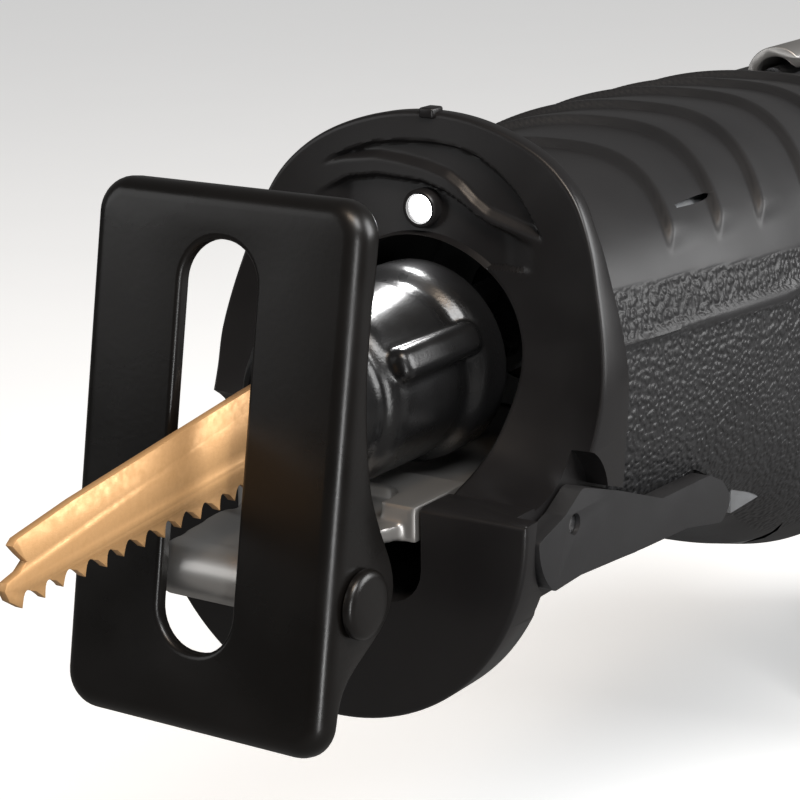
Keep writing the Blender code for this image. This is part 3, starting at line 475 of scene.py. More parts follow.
@dataclass(frozen=True)
class Finish:
    """A material: its colours, gloss and small relief, with sizes in millimetres.

    The colour drifts between two close tones in soft patches, the gloss drifts with it,
    and a fine grain gives the relief that breaks up the highlights.
    """

    name: str
    colour: str
    tone: str
    roughness: float
    metallic: float = 0.0
    patch: float = 12.0
    gloss_drift: float = 0.08
    grain: float = 0.35
    relief: float = 0.01
    stretch: Place = (1.0, 1.0, 1.0)
    scratches: float = 0.0
    wear: str = ""
    coat: float = 0.0
    glow: float = 0.0
    specular: float = 0.3

    def material(self) -> bpy.types.Material:
        """Build the node material, or return it if it is there already."""
        made = bpy.data.materials.get(self.name)
        if made is None:
            made = bpy.data.materials.new(self.name)
            made.use_nodes = True
            self.dress(made.node_tree)
        return made

    def dress(self, tree: Tree) -> None:
        """Fill the tree with this finish's nodes."""
        shader = tree.nodes["Principled BSDF"]
        place = add(tree, "ShaderNodeTexCoord").outputs["Object"]
        patches = noise(tree, place, self.patch, 4.0).outputs["Fac"]
        colour = blended(tree, patches, linear(self.colour), linear(self.tone))
        low, high = self.roughness - self.gloss_drift, self.roughness + self.gloss_drift
        rough = ramp(tree, patches, NOISE_MIDDLE, (low, high))
        along = add(tree, "ShaderNodeMapping", {"Vector": place, "Scale": self.stretch})
        height = self.grain_height(tree, along.outputs[0])
        if self.scratches:
            colour, rough = self.scratched(tree, place, colour, rough)
        if self.wear:
            colour, rough = self.worn(tree, place, colour, rough)
        bump = add(tree, "ShaderNodeBump", {"Height": height, "Strength": 1.0,
                                            "Distance": self.relief * MM})
        tree.links.new(colour, shader.inputs["Base Color"])
        tree.links.new(rough, shader.inputs["Roughness"])
        tree.links.new(bump.outputs[0], shader.inputs["Normal"])
        shader.inputs["Metallic"].default_value = self.metallic
        shader.inputs["Coat Weight"].default_value = self.coat
        shader.inputs["Coat Roughness"].default_value = COAT_ROUGHNESS
        shader.inputs["Specular IOR Level"].default_value = self.specular
        if self.glow:
            shader.inputs["Emission Color"].default_value = (1, 1, 1, 1)
            shader.inputs["Emission Strength"].default_value = self.glow

    def grain_height(self, tree: Tree, place: Socket) -> Socket:
        """The height of the fine grain at a place."""
        return noise(tree, place, self.grain, 3.0).outputs["Fac"]

    def scratched(self, tree: Tree, place: Socket, colour: Socket,
                  rough: Socket) -> tuple[Socket, Socket]:
        """Fine lighter scuffs, drawn as thin bands of a stretched noise."""
        turned = add(tree, "ShaderNodeMapping", {"Vector": place, "Rotation": SCUFF_TURN,
                                                 "Scale": SCUFF_STRETCH})
        lines = noise(tree, turned.outputs[0], SCUFF_WIDTH, 2.0).outputs["Fac"]
        band = ramp(tree, lines, SCUFF_BAND, (0.0, self.scratches))
        return blended(tree, band, colour, linear(SCUFF_COLOUR)), reckoned(tree, "ADD", rough, band)

    def worn(self, tree: Tree, place: Socket, colour: Socket,
             rough: Socket) -> tuple[Socket, Socket]:
        """Edges rubbed to the colour in wear, broken up by a coarse noise."""
        edge = add(tree, "ShaderNodeNewGeometry").outputs["Pointiness"]
        broken = noise(tree, place, WEAR_PATCH, 5.0).outputs["Fac"]
        raised = ramp(tree, edge, WEAR_EDGE, (0.0, 1.0))
        patchy = ramp(tree, broken, (0.35, 0.6), (0.1, 1.0))
        share = reckoned(tree, "MULTIPLY", raised, patchy)
        smoother = add(tree, "ShaderNodeMix", {0: share, 2: rough, 3: RUBBED_ROUGHNESS})
        return blended(tree, share, colour, linear(self.wear)), smoother.outputs[0]


@dataclass(frozen=True)
class Stippled(Finish):
    """Rubber with a pebbled relief where the mesh's stipple attribute is 1."""

    pebble: float = 0.95
    pebble_relief: float = 0.3

    def grain_height(self, tree: Tree, place: Socket) -> Socket:
        """Pebbles on the stippled panels and the fine grain between them."""
        fine = super().grain_height(tree, place)
        warp = noise(tree, place, 1.8, 2.0)
        shifted = add(tree, "ShaderNodeVectorMath", {0: warp.outputs["Color"],
                                                     1: (self.pebble * 0.6 * MM,) * 3},
                      operation="MULTIPLY")
        moved = add(tree, "ShaderNodeVectorMath", {0: place, 1: shifted.outputs[0]}, operation="ADD")
        cells = add(tree, "ShaderNodeTexVoronoi", {"Vector": moved.outputs[0],
                                                   "Scale": 1 / (self.pebble * MM)},
                    feature="SMOOTH_F1")
        pebbles = ramp(tree, cells.outputs["Distance"], (0.1, 0.75), (1.0, 0.0),
                       interpolation_type="SMOOTHSTEP")
        mask = add(tree, "ShaderNodeAttribute", attribute_name="stipple").outputs["Fac"]
        strong = reckoned(tree, "MULTIPLY", pebbles, mask)
        scaled = reckoned(tree, "MULTIPLY", strong, self.pebble_relief / self.relief)
        return reckoned(tree, "ADD", scaled, fine)


@dataclass(frozen=True)
class Brushed(Finish):
    """Metal whose grain runs in lines; stretch says how far along each axis."""

    def grain_height(self, tree: Tree, place: Socket) -> Socket:
        """Lines of two widths."""
        fine = super().grain_height(tree, place)
        coarse = noise(tree, place, self.grain * 4, 1.0).outputs["Fac"]
        return reckoned(tree, "ADD", fine, coarse)


class Finishes(Enum):
    """The saw's materials, each named for what it is made of and how."""

    # Pressed steel under gloss black powder coat: deep black with long soft highlights.
    POWDER_COAT = Finish("powder_coated_steel", "#080706", "#0f0d0c", 0.3, patch=18, gloss_drift=0.05,
                         grain=0.9,
                         relief=0.012, specular=0.3)
    # Drop-forged steel under manganese phosphate, rubbed bright on its edges.
    PHOSPHATE = Finish("phosphated_steel", "#24221f", "#5a5650", 0.42, 0.75, patch=3.5, gloss_drift=0.1,
                       grain=0.5,
                       relief=0.04, scratches=0.35, wear="#d0c8bb")
    # Ground spring and shaft steel.
    GROUND_STEEL = Brushed("ground_steel", "#b9b9bb", "#8f9093", 0.28, 1.0, patch=8, grain=0.25,
                           relief=0.006,
                           stretch=(1.0, 0.1, 1.0))
    # Bimetal blade strip under a tan lacquer with metal flake: satin, faintly speckled.
    BLADE_LACQUER = Finish("tan_blade_lacquer", "#c49a6c", "#a98255", 0.46, 0.4, patch=1.2,
                           gloss_drift=0.07,
                           grain=0.22, relief=0.02, stretch=(1.0, 0.5, 1.0))
    # Glass-filled nylon with a satin gloss, as moulded.
    SLEEVE_NYLON = Finish("black_nylon", "#0c0c0c", "#131314", 0.3, patch=9, gloss_drift=0.05,
                          grain=0.4, relief=0.03,
                          specular=0.4)
    # Thermoplastic rubber, satin, pebbled where the hand holds it.
    BOOT_RUBBER = Stippled("boot_rubber", "#1d1d1e", "#252526", 0.46, patch=22, gloss_drift=0.05,
                           grain=0.3,
                           relief=0.012)
    # The same rubber from a polished mould.
    COLLAR_RUBBER = Finish("collar_rubber", "#121112", "#1a1919", 0.36, patch=20, gloss_drift=0.05,
                           grain=0.35,
                           relief=0.008)
    # Nylon with a spark-eroded mould grain.
    GRIP_NYLON = Stippled("grip_nylon", "#1b1b1c", "#232324", 0.48, patch=16, grain=0.28, relief=0.03)
    # The same nylon where nobody grips it: the mould grain without pebbles.
    HOUSING_NYLON = Finish("moulded_nylon", "#1b1b1c", "#232324", 0.48, patch=16, grain=0.28,
                           relief=0.035)
    # Glass-filled nylon from a smoother mould, a little shinier.
    LEVER_NYLON = Finish("lever_nylon", "#1c1c1d", "#242425", 0.42, patch=14, grain=0.4, relief=0.012)
    # Grey nylon of the trigger, latch and buttons.
    CONTROL_NYLON = Finish("control_nylon", "#3a3b3d", "#45464a", 0.46, patch=9, grain=0.3, relief=0.03)
    # Die-cast aluminium, fettled and blasted.
    CAST_ALUMINIUM = Finish("die_cast_aluminium", "#b4b6b8", "#9a9c9f", 0.42, 1.0, patch=9, grain=0.35,
                            relief=0.05)
    # Pressed and sintered from powder: fine open pores.
    SINTERED_BRONZE = Finish("sintered_bronze", "#a57e47", "#8a6636", 0.4, 1.0, patch=4, grain=0.2,
                             relief=0.03)
    # Grey felt, matt and hairy.
    FELT = Finish("wool_felt", "#3b3733", "#4a453f", 0.95, patch=2, grain=0.15, relief=0.12)
    # Wound enamelled wire, in fine turns.
    COPPER = Brushed("enamelled_copper", "#b86f3d", "#8f4f28", 0.3, 1.0, patch=6, grain=0.6,
                     relief=0.12,
                     stretch=(1.0, 0.08, 1.0))
    # Stacked sheets, edge on.
    LAMINATION = Brushed("silicon_steel_laminations", "#5f6063", "#3f4043", 0.5, 0.9, patch=7,
                         grain=0.5, relief=0.08,
                         stretch=(0.08, 1.0, 0.08))
    # Glass fibre board under green solder mask.
    CIRCUIT_BOARD = Finish("solder_masked_board", "#0f4a2a", "#0b3a22", 0.4, patch=3, grain=0.8,
                           relief=0.03)
    # Steel under bright zinc plate.
    ZINC = Finish("zinc_plated_steel", "#a3a6a9", "#85888c", 0.34, 1.0, patch=3, grain=0.3, relief=0.02)
    # Polycarbonate lens with the lamp lit behind it.
    LAMP_LENS = Finish("lit_polycarbonate", "#f4f7ff", "#e8eeff", 0.15, patch=2, grain=0.4, relief=0.01,
                       glow=14.0)

    def wear_by(self, obj: Piece) -> Piece:
        """Give the whole object this material."""
        obj.data.materials.clear()
        obj.data.materials.append(self.value.material())
        return obj


def dress_node(node: str, finish: Finishes) -> None:
    """Give a CAD node that stays this finish in every slot."""
    obj = frame["nodes"][node]
    for slot in obj.material_slots:
        slot.material = finish.value.material()


def deliver(obj: Piece, body: str, slot: str, finish: Finishes, *nodes: str) -> Piece:
    """Finish a piece, tie it to its body and report it.

    Args:
        obj: The piece.
        body: The CAD body that it rides on.
        slot: The record's material slot; not used.
        finish: Its material.
        nodes: The CAD nodes that it stands for.

    Returns:
        The piece.
    """
    finish.wear_by(obj)
    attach(obj, body)
    if nodes:
        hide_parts(*nodes)
    LOG.info("%s: %d faces on %s", obj.name, len(obj.data.polygons), body)
    return obj


# ---------------------------------------------------------------- shoe and rail

@dataclass
class Shoe:
    """The pressed shoe on its pivot pin, and the rail that carries it."""

    width: float = 47.0
    low: float = -40.5
    high: float = 38.5
    sheet: float = 2.0
    corner: float = 5.5
    roll: float = 3.1
    tilt: float = 10.0
    slot_half: float = 6.6
    slot_low: float = -28.5
    slot_high: float = 31.0
    pivot: Pair = HINGE
    pin_radius: float = 2.5
    bore_radius: float = 2.8
    head_radius: float = 5.1
    head_height: float = 1.8
    rail_half: float = 16.5
    tongue_half: float = 9.4
    tongue_end: float = 4.3
    flange: Rows = ((-41.0, 4.0), (-34.0, 4.0), (-31.0, 4.4), (-28.5, 6.0), (-26.0, 9.0),
                    (-23.5, 12.6), (-21.0, 15.0), (-18.0, 16.2), (-15.0, 15.8), (-12.0, 14.2),
                    (-8.3, 11.4), (-2.3, 7.9), (6.0, 5.7), (14.0, 4.6), (22.0, 4.4),
                    (30.0, 4.8), (40.0, 4.8))

    def ring(self, inset: float, depth: float | None, offset: float = 0.0) -> list[Vector]:
        """A rounded rectangle of the tray, in the upright shoe.

        Args:
            inset: How far it lies inside the shoe's outline.
            depth: Its place behind the face, or None for the flange's edge.
            offset: Added to the flange's edge.

        Returns:
            The places.
        """
        outline = self.subdivided(self.width / 2 - inset, self.low + inset, self.high - inset,
                                  max(self.corner - inset, 1.2))
        return [Vector((x, self.edge_depth(z) + offset if depth is None else depth, z)) for x,
                z in outline]

    def slot_ring(self, grow: float, depth: float) -> list[Vector]:
        """The blade slot's outline, grown outwards."""
        half = self.slot_half + grow
        outline = self.subdivided(half, self.slot_low - grow, self.slot_high + grow, half * 0.96)
        return [Vector((x, depth, z)) for x, z in outline]

    @staticmethod
    def subdivided(half: float, low: float, high: float, radius: float) -> Outline:
        """A rounded rectangle with as many places on each side, whatever its size."""
        steps, short, tall = 10, 6, 44
        result: Outline = []
        corners = rounded(rectangle(half, low, high), radius, steps)
        for side, parts in enumerate((short, tall, short, tall)):
            result += corners[side * (steps + 1):(side + 1) * (steps + 1)]
            after = (side + 1) * (steps + 1)
            one, two = corners[after - 1], corners[after % len(corners)]
            result += [(one[0] + (two[0] - one[0]) * k / parts, one[1] + (two[1] - one[1]) * k / parts)
                       for k in range(1, parts)]
        return result

    def edge_depth(self, z: float) -> float:
        """How far the flange reaches behind the face at a height, ears included."""
        heights, depths = zip(*self.flange)
        near = np.linspace(z - 2.0, z + 2.0, 9)
        return float(np.mean(np.interp(near, heights, depths)))

    def tray(self) -> Piece:
        """The tray as one skin, from the slot over the face and the flange and back inside."""
        quarter = [math.radians(a) for a in range(0, 91, 10)]
        rings = [self.slot_ring(0.9 * (1 - math.sin(a)),
                                0.9 * (1 - math.cos(a))) for a in quarter[::-1]]
        rings += [self.ring(self.roll * (1 - math.sin(a)) * 0.98 + 0.02, self.roll * (1 - math.cos(a)))
                  for a in quarter]
        rings += [self.ring(0.0, None, -0.5), self.ring(0.12, None, -0.15), self.ring(0.5, None),
                  self.ring(self.sheet - 0.5, None), self.ring(self.sheet - 0.12, None, -0.15),
                  self.ring(self.sheet, None, -0.5)]
        inner = 1.2
        rings += [self.ring(self.sheet + inner * (1 - math.sin(a)),
                            self.sheet + inner * (1 - math.cos(a)))
                  for a in quarter[::-1]]
        rings.append(self.slot_ring(0.0, self.sheet))
        obj = skin("shoe_tray", [[tuple(p) for p in ring] for ring in rings], closed=True, smooth=60)
        centre = DATUM.at(0, 0, 0)
        obj.data.transform(Matrix.Translation(centre) @ Matrix.Rotation(-math.radians(self.tilt), 4,
                                                                        "X")
                           @ Matrix.Translation(-centre))
        return obj

    def pin(self) -> Piece:
        """The riveted pin with two low domed heads."""
        head, radius = self.width / 2 + 0.4, self.head_radius
        crown, shank = self.head_height, self.pin_radius
        half = [(0, head + crown), (2.0, head + crown - 0.02), (3.9, head + crown - 0.16),
                (4.5, head + crown - 0.34),
                (4.95, head + crown - 0.7), (radius, head + crown - 1.2), (radius, head + 0.15),
                (radius - 0.15, head),
                (shank, head)]
        profile = half + [(r, -p) for r, p in half[::-1]]
        return lathe("shoe_pin", Axis.X, (0, *self.pivot), profile, 72)

    def rail(self) -> Piece:
        """The forged rail: a slide bar, a notched front block and the tongue to the pin."""
        side = [(29.0, -12.9), (44, -12.9), (46.5, -15.4), (118, -15.4), (118, -20.4), (40, -20.4),
                (34, -18.6), (29.0, -18.6)]
        body = slab("rail", Axis.X, (-self.rail_half, self.rail_half), side)
        notch = slab("rail_notch", Axis.Z, (-15.6, 0), rounded(rectangle(10.5, 20, 36.5), 4, 6))
        half = self.tongue_half
        tongue = slab("rail_tongue", Axis.X, (-half, half),
                      [(42, -16.2), (27, -15.6), (15, -13.6),
                       *arc(self.pivot, self.tongue_end, 75, 290, 24),
                       (42, -19.7)])
        gusset = slab("rail_gusset", Axis.Z, (-18.4, -15.9),
                      [(-half, 16), (half, 16), (14.5, 29), (14.5, 40), (-14.5, 40), (-14.5, 29)])
        combined(body, Work.CUT, [notch])
        combined(body, Work.ADD, [tongue, gusset])
        bore = rod("rail_bore", Axis.X, (0, *self.pivot), self.bore_radius, (-20, 20))
        combined(body, Work.CUT, [bore])
        return remeshed(body, 0.5, 3)

    def build(self) -> None:
        """Make the shoe, its pin and its rail."""
        deliver(self.tray(), "shoe", "black_steel", Finishes.POWDER_COAT, "shoe")
        deliver(self.pin(), "shoe", "black_steel", Finishes.POWDER_COAT, "shoe_pivot_pin")
        deliver(self.rail(), "rail", "phosphated_steel", Finishes.PHOSPHATE, "shoe_rail")


# ---------------------------------------------------------------- blade and clamp

@dataclass
class BladeClamp:
    """The blade and the sleeve that locks it."""

    pitch: float = 4.233
    depth: float = 2.1
    teeth: int = 14
    tip: Pair = (-40.3, -9.9)
    slope: float = 0.037
    thick: float = 1.3
    set_width: float = 0.28
    heel: float = 20.5
    shank: float = 48.0
    axis_z: float = 2.0
    rib_turns: Pair = (25, 205)

    def blade(self) -> Piece:
        """The strip with round gullets, wavy-set teeth and a clipped tip."""
        outline: Outline = []
        for i in range(self.teeth):
            y = self.tip[0] + i * self.pitch
            z = self.tip[1] + (y - self.tip[0]) * self.slope
            outline += [(y, z), (y + 0.22, z + self.depth * 0.45), (y + 0.42, z + self.depth * 0.78)]
            outline += arc((y + 1.15, z + self.depth * 0.72), 0.68, 172, 40, 6)
            outline += [(y + 2.6, z + self.depth * 0.78), (y + 3.5, z + self.depth * 0.42)]
        heel, shank = self.heel, self.shank
        end_z = self.tip[1] + (self.teeth * self.pitch) * self.slope
        outline += [(heel - 1.2, end_z + 2.2), (heel, -3.6), (shank, -3.6), (shank, 6.6), (heel, 6.6),
                    (heel - 4, 8.3),
                    (9.6, 7.5), (-29.4, 1.8), (-40.6, -0.35), (-41.5, -1.1), (-40.2, -2.6),
                    (-38.9, -3.9),
                    (-40.4, -5.0), (-43.0, -5.7), (-43.45, -6.7), (-42.6, -8.3)]
        blade = slab("blade", Axis.X, (-self.thick / 2, self.thick / 2), outline)
        combined(blade, Work.CUT, [rod("blade_hole", Axis.X, (0, 40, self.axis_z), 2.3, (-5, 5), 24)])
        self.set_teeth(blade.data)
        return eased(blade, 0.12, 1, 30)

    def set_teeth(self, mesh: bpy.types.Mesh) -> None:
        """Push the tooth tips left and right in a wave three teeth long."""
        line = DATUM.at(0, *self.tip)
        for vertex in mesh.vertices:
            y = (vertex.co.y - line.y) / MM
            over = (vertex.co.z - line.z) / MM - y * self.slope
            share = max(0.0, 1 - over / (self.depth * 1.3))
            if y < self.teeth * self.pitch:
                vertex.co.x += self.set_width * share * math.sin(math.tau * y / (self.pitch * 3)) * MM

    def sleeve(self) -> Piece:
        """The turned sleeve with its nose, two finger ribs and rear ring."""
        nose = [(8.0, 22.0), (9.2, 22.1), (9.9, 22.5), (11.7, 25.2), (12.3, 26.4), (12.4, 27.6),
                (13.4, 28.4), (14.2, 29.6),
                (14.5, 31.2), (14.5, 45.6), (14.1, 46.6), (14.1, 48.6), (14.9, 49.6), (15.7, 50.6),
                (16.0, 51.6),
                (16.0, 57.2), (15.4, 58.0), (12.7, 58.0), (12.7, 50.8), (11.0, 50.2), (11.0, 29.2),
                (7.6, 28.8), (7.6, 22.4)]
        body = lathe("clamp_sleeve", Axis.Y, (0, 0, self.axis_z), nose, 120, closed=True)
        for lift in self.rib_turns:
            rib = block("sleeve_rib", (12.4, 16.9), (29.2, 51.5), (-2.6, 2.6), 1.9, 6)
            turn = (Matrix.Translation(DATUM.at(0, 0,
                                                self.axis_z)) @ Matrix.Rotation(-math.radians(lift), 4,
                                                                                "Y")
                    @ Matrix.Translation(-DATUM.at(0, 0, 0)))
            rib.data.transform(turn)
            combined(body, Work.ADD, [rib])
        return remeshed(body, 0.45, 4)

    def build(self) -> None:
        """Make the blade and the sleeve."""
        deliver(self.blade(), "slider", "blade_steel", Finishes.BLADE_LACQUER, "saw_blade")
        deliver(self.sleeve(), "clamp_sleeve", "black_sleeve", Finishes.SLEEVE_NYLON,
                "blade_clamp_sleeve")
        for node in ("blade_clamp_body", "slider", "clamp_lock_pin", "clamp_spring"):
            dress_node(node, Finishes.GROUND_STEEL)


# ---------------------------------------------------------------- rows and patterns

class Pattern:
    """A Geometry Nodes tree that sets copies of a shape in a row or on given points."""

    def __init__(self, name: str, on_points: bool) -> None:
        """Build the tree.

        Args:
            name: The tree's name.
            on_points: Copies on the points of the object's own mesh, not in a row.
        """
        self.tree = bpy.data.node_groups.new(name, "GeometryNodeTree")
        face = self.tree.interface
        geometry, vector = "NodeSocketGeometry", "NodeSocketVector"
        kinds = {"Points": geometry, "Shape": "NodeSocketObject", "Finish": "NodeSocketMaterial",
                 "Count": "NodeSocketInt", "Start": vector, "Offset": vector}
        self.sockets = {key: face.new_socket(key, in_out="INPUT", socket_type=kind).identifier
                        for key, kind in kinds.items()}
        face.new_socket("Mesh", in_out="OUTPUT", socket_type=geometry)
        given = add(self.tree, "NodeGroupInput").outputs
        points = given["Points"] if on_points else add(
            self.tree, "GeometryNodeMeshLine", {"Count": given["Count"],
                                                "Start Location": given["Start"],
                                                "Offset": given["Offset"]}).outputs[0]
        shape = add(self.tree, "GeometryNodeObjectInfo", {"Object": given["Shape"]}).outputs["Geometry"]
        copies = add(self.tree, "GeometryNodeInstanceOnPoints", {"Points": points, "Instance": shape})
        real = add(self.tree, "GeometryNodeRealizeInstances", {0: copies.outputs[0]})
        dressed = add(self.tree, "GeometryNodeSetMaterial",
                      {"Geometry": real.outputs[0], "Material": given["Finish"]})
        add(self.tree, "NodeGroupOutput", {0: dressed.outputs[0]})

    def laid(self, name: str, shape: Piece, finish: Finishes, **inputs: object) -> Piece:
        """Lay out the copies as one plain mesh.

        Args:
            name: The new object's name.
            shape: The object that is copied; it is removed.
            finish: The copies' finish.
            inputs: points, the places of the copies, or Count, Start and Offset of a row.

        Returns:
            The new object, without its modifier.
        """
        mesh = bpy.data.meshes.new(name)
        mesh.from_pydata(inputs.pop("points", [(0, 0, 0)]), [], [])
        made = bpy.data.objects.new(name, mesh)
        bpy.context.scene.collection.objects.link(made)
        modifier = made.modifiers.new("pattern", "NODES")
        modifier.node_group = self.tree
        for key, value in {"Shape": shape, "Finish": finish.value.material(), **inputs}.items():
            modifier[self.sockets[key]] = value
        settled(made)
        bpy.data.objects.remove(shape)
        return finished_shading(made, 40)


class Patterns:
    """The two layouts that the saw's repeated details use."""

    def __init__(self) -> None:
        """Build both trees."""
        self.on_points = Pattern("copies_on_points", True)
        self.in_row = Pattern("copies_in_a_row", False)

    def row(self, name: str, shape: Piece, finish: Finishes, count: int,
            step: Place) -> Piece:
        """Copies of a shape from where it lies, one step in millimetres apart."""
        return self.in_row.laid(name, shape, finish, Count=count, Start=(0.0, 0.0, 0.0),
                                Offset=tuple(s * MM for s in step))

    def places(self, name: str, shape: Piece, finish: Finishes,
               places: Sequence[Place]) -> Piece:
        """Copies of a shape, moved from the origin of the saw's millimetres to each place."""
        return self.on_points.laid(name, shape, finish, points=[tuple(Vector(p) * MM) for p in places])


# ---------------------------------------------------------------- nose and boot

def smoothstep(value: float, low: float, high: float) -> float:
    """0 below low, 1 above high and a soft curve between."""
    share = min(max((value - low) / (high - low), 0.0), 1.0)
    return share * share * (3 - 2 * share)


def soft_curve(value: float, rows: Sequence[Pair], reach: float) -> float:
    """The value on straight lines between rows, averaged over reach to round their corners."""
    keys, values = zip(*rows)
    return float(np.mean(np.interp(np.linspace(value - reach, value + reach, 9), keys, values)))


def paint(obj: Piece, name: str, share: Callable[[float, float, float], float]) -> None:
    """Store a value for each vertex.

    Args:
        obj: The object.
        name: The attribute's name.
        share: Gives the value for a place on the saw.
    """
    attribute = obj.data.attributes.new(name, "FLOAT", "POINT")
    zero = DATUM.at(0, 0, 0)
    values = [share(*((vertex.co - zero) / MM)) for vertex in obj.data.vertices]
    attribute.data.foreach_set("value", values)


def flowing(rows: np.ndarray, pitch: float) -> np.ndarray:
    """A closed smooth curve through control rows.

    Args:
        rows: The rows; their first three columns are a place in millimetres.
        pitch: About how far apart the curve's places are.

    Returns:
        The curve's rows.
    """
    result = []
    for i, here in enumerate(rows):
        before, after, later = rows[i - 1], rows[(i + 1) % len(rows)], rows[(i + 2) % len(rows)]
        parts = max(1, round(np.linalg.norm((after - here)[:3]) / pitch))
        for t in [k / parts for k in range(parts)]:
            result.append(here + 0.5 * ((after - before) * t + (2 * before - 5 * here + 4 * after - later) * t ** 2
                                        + (3 * here - before - 3 * after + later) * t ** 3))
    return np.array(result)


@dataclass
class Nose:
    """The flared collar with its lamp recess, and the chin that the rail runs through.

    The flare runs between two closed curves, the rim and the mouth. Each row of curve
    holds the two places that belong together, from the top down the right side.
    """

    mouth: float = 19.7
    mouth_z: float = 2.0
    back: float = 60.6
    lip: float = 3.6
    chin_half: float = 35.3
    chin_top: float = -13.1
    chin_low: float = -50.0
    chin_span: Pair = (30.0, 39.0)
    notch_half: float = 17.0
    notch_low: float = -29.0
    lamp: Pair = (58.2, 26.0)
    lamp_radius: float = 2.1
    curve: tuple[tuple[float, ...], ...] = (
        (0, 60, 41, 0, 56.5, 21.7), (8, 59.8, 40.3, 4.0, 56.5, 21.3), (16, 59.4, 38.0, 8.0, 56.6, 20.0),
        (22.5, 58.9, 34.6, 11.2, 56.8, 18.2), (27.5, 57.9, 29.8, 13.9, 57.0, 16.0),
        (30.8, 56.6, 23.5, 16.2, 57.0, 13.3), (33.0, 55.2, 16.5, 18.1, 56.6, 9.9),
        (34.9, 53.6, 9.5, 19.3, 55.8, 6.1),
        (36.0, 52.0, 3.0, 19.7, 54.6, 2.5), (36.0, 50.4, -3.0, 19.5, 53.2, -0.8),
        (35.7, 48.0, -8.1, 19.0, 51.0, -4.6),
        (35.5, 44.6, -11.8, 18.4, 48.0, -8.2), (35.4, 40.0, -13.6, 17.9, 43.5, -11.0),
        (35.3, 35.5, -14.6, 17.6, 38.5, -13.0), (35.0, 32.6, -18.5, 17.4, 35.0, -15.0),
        (30.0, 33.5, -26.0, 13.0, 36.0, -20.0), (16.0, 34.0, -31.0, 7.0, 36.0, -22.0),
        (0, 34.0, -31.5, 0, 36.0, -22.5))
    dish: Rows = ((-20.0, 1.3), (10.0, 1.3), (24.0, 0.7), (34.0, 0.25))
    crescent_top: Rows = (
        (-24.0, 28.5), (-16.5, 33.4), (-10.2, 35.7), (-4.7, 36.4), (0.8, 36.6), (5.4, 36.2),
        (9.5, 35.1), (13.3, 32.9),
        (16.5, 30.4), (19.2, 27.2), (21.0, 24.5), (22.4, 22.9))
    crescent_low: Rows = (
        (-24.0, 28.4), (-19.5, 31.2), (-15.0, 32.3), (-9.5, 33.0), (-4.7, 32.7), (0.0, 32.0),
        (4.0, 31.0), (6.7, 29.5),
        (9.4, 27.3), (12.0, 25.7), (17.2, 24.1), (22.4, 22.8))
    hood: Rows = (
        (-22.0, 26.0), (-14.5, 29.9), (-8.9, 30.8), (-0.7, 30.5), (4.0, 29.3), (6.7, 28.0), (9.4, 26.4),
        (12.0, 25.0),
        (17.2, 23.5), (22.0, 22.0))

    def sunk(self, x: float, z: float) -> float:
        """How far the face is set back by the crescent and below the lamp's hood."""
        if z < 18 or not self.crescent_top[0][0] < x < self.crescent_top[-1][0]:
            return 0.0
        top, low, hood = (float(np.interp(x, *zip(*line)))
                          for line in (self.crescent_top, self.crescent_low, self.hood))
        crescent = 1.1 * smoothstep(top - z, 0.0, 0.7) * smoothstep(z - low, -0.1, 1.5)
        return crescent + 1.7 * smoothstep(hood - z, 0.0, 0.9) * (1 - smoothstep(abs(x), 14.0, 21.0))

    def ring(self) -> Piece:
        """The collar's loop of cross-sections: lip, face, mouth, back and side."""
        right = np.array(self.curve)
        left = right[-2:0:-1] * (-1, 1, 1, -1, 1, 1)
        curve = flowing(np.vstack([right, left]), 0.7)
        rim, mouth = curve[:, :3], curve[:, 3:]
        depth, rear = rim[:, 1], np.maximum(self.back, rim[:, 1] + self.lip)
        faces = 64
        face = [0.03 + 0.94 * k / faces for k in range(faces + 1)]
        bulge = np.interp(rim[:, 2], *zip(*self.dish))
        rows = [(0.0, depth + 0.55), (0.004, depth + 0.28), (0.014, depth + 0.08)]
        for share in face:
            y = (depth + (mouth[:, 1] - depth) * share
                 + bulge * math.sin(math.pi * (share - 0.03) / 0.97) ** 0.9)
            places = rim + (mouth - rim) * share
            y = y + [self.sunk(x, z) for x, z in places[:, (0, 2)]]
            rows.append((share, np.minimum(y, self.back - 0.3)))
        rows += [(0.99, mouth[:, 1] + 0.2), (1.0, mouth[:, 1] + 0.7), (1.0, self.back),
                 (0.45, self.back),
                 (0.25, rear), (0.04, rear), (0.012, rear - 0.25), (0.0, depth + (rear - depth) * 0.75),
                 (-0.004, depth + 1.0)]
        rings = []
        for share, y in rows:
            places = rim + (mouth - rim) * share
            places[:, 1] = y
            rings.append(places)
        return skin("nose_ring", rings, closed=True, smooth=50)

